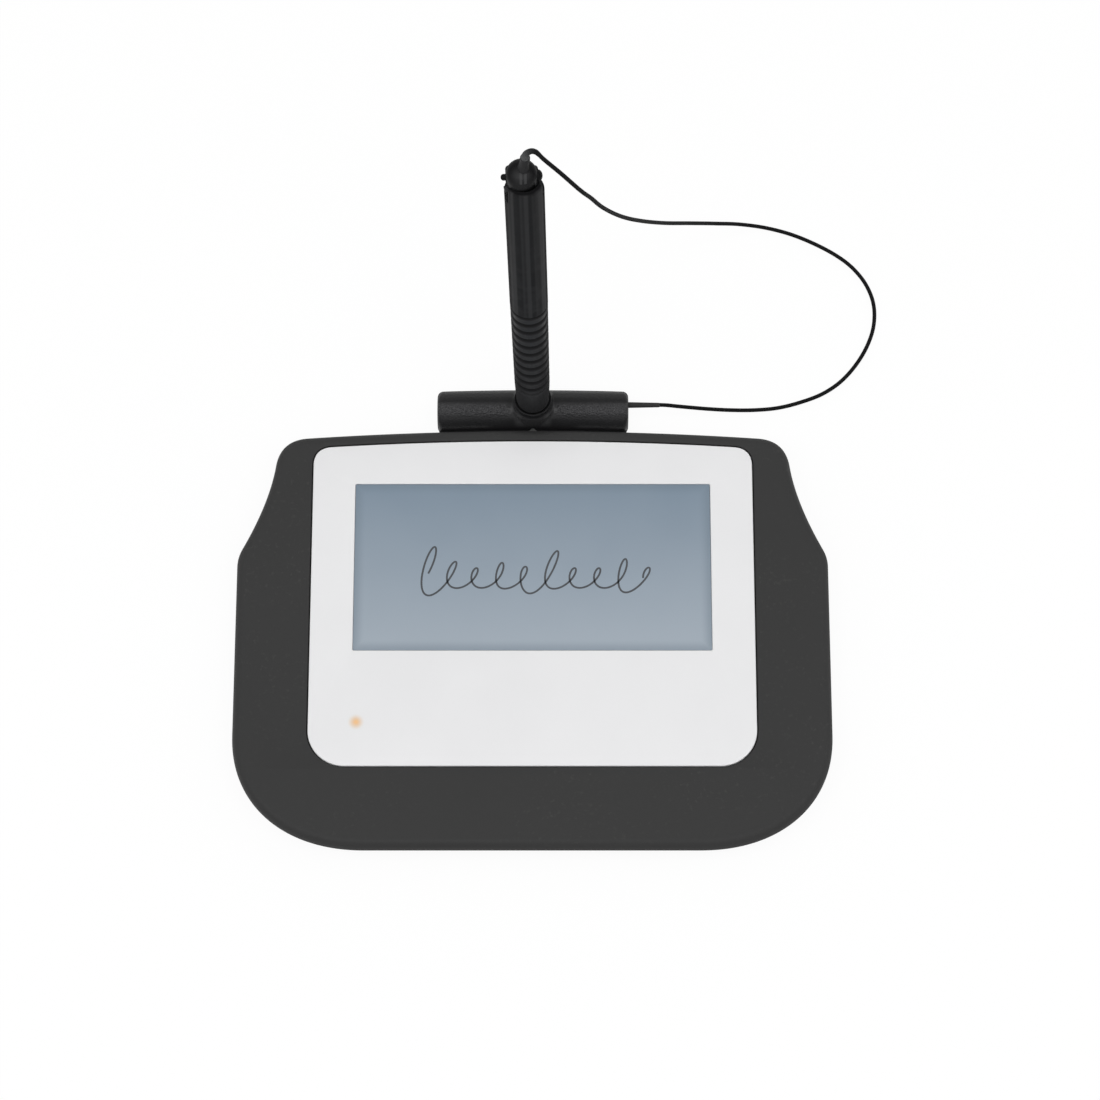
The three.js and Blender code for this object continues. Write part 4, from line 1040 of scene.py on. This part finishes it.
def base_levels():
    """The base's outline at each height, smooth from the sole to its rim."""
    outline = pad_outline()
    levels = []
    for i in range(base_rings + 1):
        height = base_bottom + (base_top - base_bottom) * (i / base_rings) ** base_crowding
        (low_in, low), (high_in, high) = [
            (a, b) for a, b in zip(base_profile, base_profile[1:]) if height <= b[1] + 1e-6
        ][0]
        share = (height - low) / (high - low)
        levels.append((shrunk(outline, low_in + (high_in - low_in) * share), height))
    return levels


def bottom_cover():
    outline = pad_outline()
    heights = (base_bottom + base_wall, room_step, base_top, base_top + overrun)
    cuts = [stacked([(shrunk(outline, base_profile[i][0] + base_wall), height)
                     for i, height in zip((1, 2, 3, 3), heights)])]
    for names, radius, depth, sides in (
        (numbered("foot", 4), foot_radius, foot_recess, 96),
        (numbered("cover_screw", 6), cover_screw_radius, screw_recess, 48),
    ):
        cuts += [drum(radius + fit, base_bottom - overrun / 2, base_bottom + depth, x, y, sides)
                 for x, y, _ in map(middle_of, names)]
    pocket_depth = tongue_reach + fit + overrun
    cuts.append(block(tongue_width + 2 * fit, pocket_depth, base_bottom - overrun,
                      base_bottom + pocket_height, 0, rear - tongue_reach - fit + pocket_depth / 2))
    mouth_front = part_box("usb_socket")[0].y * METRE - shift
    cuts.append(block(mouth_width, mouth_depth, mouth_low, base_top + overrun,
                      middle_of("usb_socket")[0], mouth_front + mouth_ahead))
    mesh = combined(stacked(base_levels()), cuts, "DIFFERENCE")
    finished("pad_base", mesh, "cover", "pad", ["bottom_cover"])


def faceplate():
    outline, window = plate_outline(), window_outline(window_gap)
    sides = [(inset(outline, plate_bevel), plate_bottom), (outline, plate_bottom + plate_bevel)]
    sides += [(inset(outline, plate_bevel * a), pad_top - plate_bevel * (1 - b))
              for a, b in quarter(4)]
    edges = [(window, plate_bottom)]
    edges += [(inset(window, -window_edge_out * a), pad_top - window_edge_down * (1 - b))
              for a, b in quarter(4)]
    skin = Skin()
    for outer_end, inner_end in zip(skin.walls(level(sides)), skin.walls(level(edges))):
        skin.cap(outer_end, inner_end)
    finished("face_plate", skin.mesh(), "plate", "pad", ["faceplate"])


def writing_surface():
    top = pad_top - window_sink
    levels = [(window_outline(-surface_round), plate_bottom),
              (window_outline(0), plate_bottom + surface_round)]
    levels += [(window_outline(-surface_round * a), top - surface_round * (1 - b))
               for a, b in quarter(3)]
    finished("screen_cover", stacked(levels), "screen", "pad", ["writing_surface"])


def ink_trace():
    """A made-up looping stroke across the screen, as a pen would leave."""
    points = []
    for i in range(stroke_steps + 1):
        t = i / stroke_steps
        swing = stroke_swing + sum(tall * math.exp(-((t - place) / spread) ** 2)
                                   for place, spread, tall in stroke_peaks)
        turn = t * math.tau * stroke_loops
        rise = swing * math.sin(turn) + stroke_lift * swing
        loop = (stroke_loop_width + stroke_loop_share * swing) * math.cos(turn)
        points.append(Vector((stroke_length * (t - 0.5) + loop + stroke_slant * rise,
                              screen_middle - stroke_drop + rise, 0)))
    surface = pad_top - window_sink
    bottom, top = surface - stroke_under, surface + stroke_over
    rings = []
    for i, here in enumerate(points):
        ahead = (points[min(i + 1, stroke_steps)] - points[max(i - 1, 0)]).normalized()
        across = Vector((-ahead.y, ahead.x, 0)) * (stroke_width / 2)
        left, right = here - across, here + across
        rings.append([(left.x, left.y, bottom), (right.x, right.y, bottom),
                      (right.x, right.y, top), (left.x, left.y, top)])
    finished("screen_stroke", closed(rings), "ink", "pad")


# Trees that make the turned and repeated pieces
def field_curve(tree, value, shares):
    """A curve through (place, share) points, straight between them."""
    node = added(tree, "ShaderNodeFloatCurve", {"Value": value})
    curve = node.mapping.curves[0]
    while len(curve.points) < len(shares):
        curve.points.new(0.5, 0.5)
    for point, (place, share) in zip(curve.points, shares):
        point.location, point.handle_type = (place, share), "VECTOR"
    node.mapping.update()
    return Field(tree, node.outputs[0])


def lathe_grid(tree, columns, rows):
    """A grid, and its places round and along as fields from 0 to 1."""
    grid = field(tree, "GeometryNodeMeshGrid", {
        "Size X": 1.0, "Size Y": 1.0, "Vertices X": columns, "Vertices Y": rows,
    }, "Mesh")
    around, along, _ = split(tree, field(tree, "GeometryNodeInputPosition"))
    return grid, around + 0.5, along + 0.5


def closed_lathe(tree, grid, around, radius, height):
    """The grid rolled up about Z and merged along its seam."""
    turn = around * math.tau
    position = field(tree, "ShaderNodeCombineXYZ", {
        "X": turn.maths("COSINE") * radius, "Y": turn.maths("SINE") * radius, "Z": height,
    })
    placed = field(tree, "GeometryNodeSetPosition", {"Geometry": grid, "Position": position})
    return field(tree, "GeometryNodeMergeByDistance", {"Geometry": placed, "Distance": weld})


def ended(tree, solid, given, result):
    """Instances made real, the material set, and the result led out."""
    real = field(tree, "GeometryNodeRealizeInstances", {"Geometry": solid})
    coated = field(tree, "GeometryNodeSetMaterial", {"Geometry": real,
                                                     "Material": given["Material"]})
    connect(tree, coated, result.inputs[0])
    return tree


def crossed(tree, solid, given):
    """The shape with a cross-shaped drive recess cut into its underside."""
    reach, width = given["Radius"] * 1.4, given["Recess width"]
    cut = added(tree, "GeometryNodeMeshBoolean", {0: solid, "Self Intersection": True},
                operation="DIFFERENCE", solver="EXACT")
    for x, y in ((reach, width), (width, reach)):
        size = field(tree, "ShaderNodeCombineXYZ",
                     {"X": x, "Y": y, "Z": given["Recess depth"] * 2.0})
        connect(tree, field(tree, "GeometryNodeMeshCube", {"Size": size}, "Mesh"), cut.inputs[1])
    return Field(tree, cut.outputs["Mesh"])


def spread_tree(name, radius_shares, height_shares, rows, cross):
    """A turned shape, with a drive recess if asked, on each point of the given geometry."""
    sizes = {"Radius": 1.0, "Height": 1.0, "Recess width": 0.5, "Recess depth": 0.5}
    tree, given, result = new_tree(
        name, "GeometryNodeTree",
        [("Places", GEOMETRY, None)] + [(label, FLOAT, size) for label, size in sizes.items()]
        + [("Material", MATERIAL, None)], [("Geometry", GEOMETRY)],
    )
    grid, around, along = lathe_grid(tree, 65, rows)
    radius = field_curve(tree, along, radius_shares) * given["Radius"]
    height = field_curve(tree, along, height_shares) * given["Height"]
    solid = closed_lathe(tree, grid, around, radius, height)
    if cross:
        solid = crossed(tree, solid, given)
    spread = field(tree, "GeometryNodeInstanceOnPoints",
                   {"Points": given["Places"], "Instance": solid})
    return ended(tree, spread, given, result)


def grip_tree():
    """A sleeve whose outside has grooves at a steady pitch."""
    labels = ["Foot", "Length", "Foot radius", "Top radius", "Inner radius", "First groove",
              "Pitch", "Grooves", "Groove width", "Groove depth"]
    tree, given, result = new_tree(
        "grip_ribs", "GeometryNodeTree",
        [("Geometry", GEOMETRY, None)] + [(label, FLOAT, 1.0) for label in labels]
        + [("Material", MATERIAL, None)], [("Geometry", GEOMETRY)],
    )
    grid, around, along = lathe_grid(tree, fine_sides + 1, 480)
    outside = along.ramp(0.004, 0.006) * along.fall(0.994, 0.996)
    climb = ((along - 0.008) / 0.984).between(0.0, 1.0)
    climb = climb * along.fall(0.9985, 0.9995)  # the last row closes the bore
    height = given["Foot"] + climb * given["Length"]
    step = ((height - given["First groove"]) / given["Pitch"]).maths("ROUND")
    step = step.between(0.0, given["Grooves"] - 1.0)
    away = (height - (given["First groove"] + step * given["Pitch"])).maths("ABSOLUTE")
    share = (away / (given["Groove width"] * 0.5)).maths("MINIMUM", 1.0)
    groove = ((share * math.pi).maths("COSINE") + 1.0) * 0.5
    crown = (climb * 40.0).maths("MINIMUM", climb * -40.0 + 40.0)
    crown = crown.maths("MINIMUM", 1.0).maths("POWER", 0.35)
    rim = given["Foot radius"] + (given["Top radius"] - given["Foot radius"]) * climb
    outer = rim - groove * given["Groove depth"] - (crown * -0.25 + 0.25)
    radius = given["Inner radius"] + (outer - given["Inner radius"]) * outside
    return ended(tree, closed_lathe(tree, grid, around, radius, height), given, result)


def grown(base, tree, values):
    """The mesh that a tree makes on a base mesh, with its inputs set by name."""
    holder = temporary(base)
    modifier = holder.modifiers.new("tree", "NODES")
    modifier.node_group = tree
    for item in tree.interface.items_tree:
        if item.item_type == "SOCKET" and item.in_out == "INPUT" and item.name in values:
            modifier[item.identifier] = values[item.name]
    return evaluated(holder)


def repeated(tree, names, height, values):
    """The tree's shape under the middle of each named node."""
    mesh = bpy.data.meshes.new("places")
    mesh.from_pydata([(x, y, height) for x, y, _ in map(middle_of, names)], [], [])
    return outwards(grown(mesh, tree, values))


def feet():
    tree = spread_tree("foot_turning", foot_radius_shares, foot_height_shares, 51, False)
    names = numbered("foot", 4)
    mesh = repeated(tree, names, 0.0, {
        "Radius": foot_radius, "Height": foot_height, "Material": finishes["rubber"],
    })
    finished("pad_feet", mesh, "rubber", "pad", names)


def screws():
    tree = spread_tree("screw_turning", screw_radius_shares, screw_height_shares, 31, True)
    for stem, count, radius, height in (
        ("cover_screw", 6, cover_screw_radius, cover_screw_height),
        ("holder_screw", 2, holder_screw_radius, holder_screw_height),
    ):
        names = numbered(stem, count)
        mesh = repeated(tree, names, screw_bottom, {
            "Radius": radius, "Height": height, "Recess width": drive_width,
            "Recess depth": height * drive_share, "Material": finishes["steel"],
        })
        finished(f"{stem}_heads", mesh, "steel", "pad", names)


# Holder bar
def bar_mesh():
    half = bar_length / 2
    plain = half - bar_end_round
    stations = [(-half + bar_end_round * a, bar_end_round * (1 - b))
                for a, b in quarter(bar_end_steps)]
    stations += [(plain * (i / bar_middle_steps - 1), 0.0) for i in range(1, 2 * bar_middle_steps)]
    stations += [(-x, less) for x, less in reversed(stations[:bar_end_steps + 1])]
    rings = []
    for x, less in stations:
        radius = bar_radius - less
        middle = bar_middle - bar_bow * (x / half) ** 2
        ring = []
        for t in full_turn(fine_sides):
            across, up = math.cos(t), math.sin(t)
            if across < 0 and up < 0:  # the lower front is squarer
                across, up = -(-across) ** bar_squareness, -(-up) ** bar_squareness
            height = max(bar_radius + radius * up, base_bottom)
            ring.append((x, middle + radius * across, height))
        rings.append(ring)
    return closed(rings)


def holder_boss():
    """The round mouth of the pen's socket, in the pen's own frame."""
    levels = [(boss_flare, bar_radius - rim_height)]
    levels += [(boss_flare * (1 - b), flare_low + (flare_high - flare_low) * a)
               for a, b in quarter(8)]
    outlines = []
    for wider, height in levels + boss_edge:
        across, ahead = boss_radius + wider, boss_radius + min(wider, boss_flare_ahead)
        outline = [(across * math.cos(t), ahead * math.sin(t)) for t in full_turn(fine_sides)]
        outlines.append((outline, height))
    return stacked(outlines)


def skinned(mesh):
    """The mesh under one soft skin, as a moulding would join its forms."""
    holder = temporary(mesh)
    remesh = holder.modifiers.new("remesh", "REMESH")
    remesh.mode, remesh.voxel_size, remesh.adaptivity = "VOXEL", skin_size, 0.0
    smooth = holder.modifiers.new("smooth", "SMOOTH")
    smooth.factor, smooth.iterations = skin_softness, skin_passes
    return evaluated(holder)


def pen_holder():
    lip_front, lip_back = rear - bar_lip_gap, bar_middle - bar_radius + bar_lip_root
    lip = block(bar_length - bar_lip_ends, lip_back - lip_front, bar_lip_low, bar_lip_high,
                0, (lip_front + lip_back) / 2)
    mesh = skinned(combined(bar_mesh(), [on_pen(holder_boss()), lip], "UNION"))
    socket = turned([
        (0, nib_tip - fit), (nose_tip_radius + fit, nib_tip - fit),
        (nose_tip_radius + fit, cone_foot - fit), (nose_rim_radius + socket_gap, -funnel_depth),
        (boss_radius + funnel_out, funnel_rise), (boss_radius + funnel_out, overrun), (0, overrun),
    ])
    bore = drum(anchor_radius + fit, -overrun / 2, anchor_length + fit, sides=32)
    bore_x, bore_y = bar_length / 2 + anchor_past_end, bar_middle - bar_bow + anchor_behind
    bore = moved(bore, at(bore_x, bore_y, anchor_z), rotation(-math.pi / 2, "Y"))
    mesh = combined(mesh, [on_pen(socket), bore], "DIFFERENCE")
    tongue_depth = bar_middle - (rear - tongue_reach)
    tongue = block(tongue_width, tongue_depth, base_bottom, base_bottom + tongue_thickness,
                   0, rear - tongue_reach + tongue_depth / 2)
    holes = [moved(turned(holder_screw_hole, 48), at(x, y))
             for x, y, _ in map(middle_of, numbered("holder_screw", 2))]
    mesh = combined(combined(mesh, [tongue], "UNION"), holes, "DIFFERENCE")
    finished("holder_bar", mesh, "holder", "pad", ["pen_holder"], crease=48)


# Pen
def on_pen(mesh):
    return moved(mesh, pen_frame)


def rounded(points, radius, steps=4):
    """The (radius, height) profile with each inner corner rounded."""
    result = [points[0]]
    for before, corner, after in zip(points, points[1:], points[2:]):
        middle = Vector(corner)
        reach = min(radius, *((Vector(end) - middle).length / 2 for end in (before, after)))
        start, end = Vector(towards(corner, before, reach)), Vector(towards(corner, after, reach))
        for i in range(steps + 1):
            t = i / steps
            result.append(tuple(start * (1 - t) ** 2 + middle * 2 * t * (1 - t) + end * t ** 2))
    return result + [points[-1]]


def pen_front():
    """The nose cone, the nib and the ribbed grip."""
    nose = turned(rounded([
        (0, cone_foot), (nose_tip_radius, cone_foot), (nose_rim_radius, 0),
        (nose_top_radius, nose_top), (spigot_radius, nose_top),
        (spigot_radius, nose_top + spigot_length), (0, nose_top + spigot_length),
    ], nose_edge))
    finished("pen_nose_cone", on_pen(nose), "nose", "pen", ["pen_nose"])
    tip = [(nib_radius * math.sin(t), nib_tip + nib_radius * (1 - math.cos(t)))
           for t in quarter_turn(10)]
    tip = turned(tip + [(nib_radius, cone_foot + nib_root), (0, cone_foot + nib_root)], 32)
    finished("pen_point", on_pen(tip), "nib", "pen", ["pen_nib"])
    foot = nose_top + grip_gap
    grip = outwards(grown(bpy.data.meshes.new("grip"), grip_tree(), {
        "Foot": foot, "Length": grip_top - foot, "Foot radius": nose_top_radius,
        "Top radius": grip_top_radius, "Inner radius": core_radius + fit,
        "First groove": groove_first, "Pitch": groove_pitch, "Grooves": float(grooves),
        "Groove width": groove_width, "Groove depth": groove_depth, "Material": finishes["grip"],
    }))
    finished("pen_ribbed_grip", on_pen(grip), "grip", "pen", ["pen_grip"], crease=60)


def barrel():
    foot = grip_top + barrel_gap
    profile = [(bore_radius, foot), (barrel_radius - barrel_edge_in, foot),
               (barrel_radius, foot + barrel_edge_up)]
    profile += [(barrel_radius - shoulder_in * a, front_rim - shoulder_down * (1 - b))
                for a, b in quarter(12)[:-1]]
    profile += [(bore_radius, front_rim), (bore_radius, foot)]
    notch = block(barrel_radius + overrun, notch_width, barrel_top - notch_depth,
                  barrel_top + overrun, -(barrel_radius + overrun) / 2)
    behind = block(2 * (barrel_radius + overrun), 2 * barrel_radius, barrel_top - rear_step,
                   barrel_top + overrun, 0, barrel_radius - step_from_middle)
    notch = moved(notch, rotation(notch_turn, "Z"))
    mesh = combined(turned(profile), [notch, behind], "DIFFERENCE")
    finished("pen_tube", on_pen(mesh), "pen", "pen", ["pen_barrel"])


def ear(side):
    radius = ear_radii[side]
    profile = [(radius * math.sin(t), ear_fullness * radius * (1 - math.cos(t)))
               for t in quarter_turn(8)] + [(radius, ear_length), (0, ear_length)]
    return moved(turned(profile, 40), at(-dome_aside, ear_behind, dome_middle - ear_drop),
                 rotation(ear_turn, "Z"), at(side * ear_span / 2, 0),
                 rotation(-side * math.pi / 2, "Y"))


def lug(side):
    """A low upright rounding behind the ear."""
    foot, top = barrel_top - lug_foot, dome_middle + lug_top
    profile = [(0, foot), (lug_radius, foot)]
    profile += [(lug_radius * (1 - a), top - lug_radius * (1 - b)) for a, b in quarter(8)]
    reach = lug_reach - lug_radius
    return moved(turned(profile, 40), at(side * reach * math.cos(lug_turn) - dome_aside,
                                         reach * math.sin(lug_turn)))


def dome_shape(radius):
    """The cap's dome, a little squarer than a ball."""
    profile = [(0, barrel_top), (radius - dome_foot_in, barrel_top),
               (radius, barrel_top + dome_foot_rise)]
    profile += [(radius * math.cos(t) ** dome_squareness,
                 dome_middle + radius * math.sin(t) ** dome_squareness)
                for t in quarter_turn(28)[:-1]]
    return moved(turned(profile + [(0, dome_middle + radius)]), at(-dome_aside, 0))


def key_block(length, width, depth, drop, x):
    """A key in the barrel's slot, from its depth up to its drop below the barrel's top."""
    key = block(length, width, barrel_top - depth, barrel_top - drop, x)
    return moved(key, rotation(notch_turn, "Z"))


def dome_ribs():
    """Thin moulded ribs that climb the front of the dome, and the face of the key, in a paler
    finish that paints their highlight.
    """
    bars = [block(rib_width, dome_radius, dome_middle + rib_low, dome_middle + dome_radius,
                  x - dome_aside, -dome_radius / 2 - rib_ahead) for x in rib_places]
    bars = combined(bars[0], bars[1:], "UNION")
    ribs = combined(dome_shape(dome_radius + rib_rise), [bars], "INTERSECT")
    key = key_block(key_face, notch_width - 4 * fit, key_depth - fit, key_face_top,
                    key_face_in - barrel_radius)
    finished("pen_cap_ribs", on_pen(combined(ribs, [key], "UNION")), "rib_highlight", "pen")


def cap():
    bore, collar = bore_radius - fit, bore_radius - collar_gap
    body = turned([
        (0, barrel_top - plug_length), (bore, barrel_top - plug_length),
        (bore, barrel_top - plug_neck), (collar, barrel_top - collar_rise), (collar, barrel_top),
        (collar - collar_edge, barrel_top + collar_edge), (0, barrel_top + collar_edge),
    ])
    key = key_block(barrel_radius, notch_width - 2 * fit, key_depth, key_top, -barrel_radius / 2)
    parts = [dome_shape(dome_radius), key, ear(-1), ear(1), lug(-1), lug(1)]
    finished("pen_cap", on_pen(combined(body, parts, "UNION")), "cap", "pen", ["cap_plug"],
             crease=40)


# Tubes along a route
def smooth_route(points, steps):
    """Points along the centripetal spline through the given ones."""
    points = [Vector(point) for point in points]
    points = [points[0] * 2 - points[1], *points, points[-1] * 2 - points[-2]]
    result = []
    for p0, p1, p2, p3 in zip(points, points[1:], points[2:], points[3:]):
        t1 = (p1 - p0).length ** 0.5
        t2 = t1 + (p2 - p1).length ** 0.5
        t3 = t2 + (p3 - p2).length ** 0.5
        for i in range(steps):
            t = t1 + (t2 - t1) * i / steps
            a1 = p0.lerp(p1, t / t1)
            a2 = p1.lerp(p2, (t - t1) / (t2 - t1))
            a3 = p2.lerp(p3, (t - t2) / (t3 - t2))
            b1 = a1.lerp(a2, t / t2)
            b2 = a2.lerp(a3, (t - t1) / (t3 - t1))
            result.append(b1.lerp(b2, (t - t1) / (t2 - t1)))
    return result + [points[-2]]


def tube(route, radii, sides):
    """A closed tube with its own map: turns round, millimetres along."""
    points, faces, lengths = [], [], [0.0]
    normal = Vector((0, 1, 0))
    for i, here in enumerate(route):
        ahead = (route[min(i + 1, len(route) - 1)] - route[max(i - 1, 0)]).normalized()
        normal = (normal - ahead * normal.dot(ahead)).normalized()
        across = ahead.cross(normal)
        if i:
            lengths.append(lengths[-1] + (here - route[i - 1]).length)
        points += [here + (normal * math.cos(t) + across * math.sin(t)) * radii[i]
                   for t in full_turn(sides)]
    last = (len(route) - 1) * sides
    for first in range(0, last, sides):
        for k in range(sides):
            a, b = first + k, first + (k + 1) % sides
            faces.append((a, b, b + sides, a + sides))
    faces += [tuple(reversed(range(sides))), tuple(range(last, last + sides))]
    mesh = bpy.data.meshes.new("tube")
    mesh.from_pydata(points, [], faces)
    chart = mesh.uv_layers.new(name="along")
    for face in mesh.polygons:
        for k, corner in enumerate(face.loop_indices):
            ring, turn = divmod(mesh.loops[corner].vertex_index, sides)
            wraps = len(face.vertices) == 4 and turn == 0 and k in (1, 2)
            chart.data[corner].uv = (1.0 if wraps else turn / sides, lengths[ring])
    return mesh


def dome_tube(route, radii, steps, sides):
    """A smoothed tube over the dome, its radius straight between the route's points."""
    top = dome_middle + dome_radius
    points = [pen_frame @ Vector((aside, 0, top + rise)) for aside, rise in route]
    along = [low + (high - low) * i / steps for low, high in zip(radii, radii[1:])
             for i in range(steps)]
    return tube(smooth_route(points, steps), along + [radii[-1]], sides)


def tether():
    """The free cord and the sleeve and boot at its pen end, and the boot at the bar."""
    sleeve = dome_tube(sleeve_route, sleeve_radii, 10, 40)
    finished("tether_sleeve", sleeve, "sleeve", "tether_end", ["pen_sleeve"], crease=60)
    boot = dome_tube(boot_route, boot_radii, 8, 48)
    finished("sleeve_boot", boot, "cap", "tether_end", crease=60)
    route = smooth_route(cord_route, 12)
    mesh = tube(route, [cord_radius] * len(route), 16)
    cord = finished("tether", mesh, "cord", None, ["tether_cord"], crease=60)
    path = [to_row @ point for point in route]
    length = sum((b - a).length for a, b in zip(path, path[1:]))
    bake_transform(cord)
    low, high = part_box("holder_sleeve")
    _, y, z = middle_of("holder_sleeve")
    start = Vector((low.x * METRE - holder_boot_in, y, z))
    end = Vector((high.x * METRE + holder_boot_out, y, z))
    shares = [i / 24 for i in range(25)]
    radii = [holder_boot_radius - holder_boot_taper * share for share in shares]
    radii[-1] -= holder_boot_edge
    boot = tube([start.lerp(end, share) for share in shares], radii, 32)
    finished("holder_boot", boot, "rubber", "pad", ["holder_sleeve"], crease=60)


def dress_kept_nodes():
    """The nodes that no piece replaces get the finish of their slot."""
    for row in frame["record"]["subparts"]:
        materials = nodes[row["node"]].data.materials
        materials.clear()
        materials.append(finishes[row["material_slot"]])


aimed_camera()
tether()
studio()
table_top()
dress_kept_nodes()
top_cover()
bottom_cover()
faceplate()
writing_surface()
ink_trace()
feet()
screws()
pen_holder()
pen_front()
barrel()
cap()
dome_ribs()
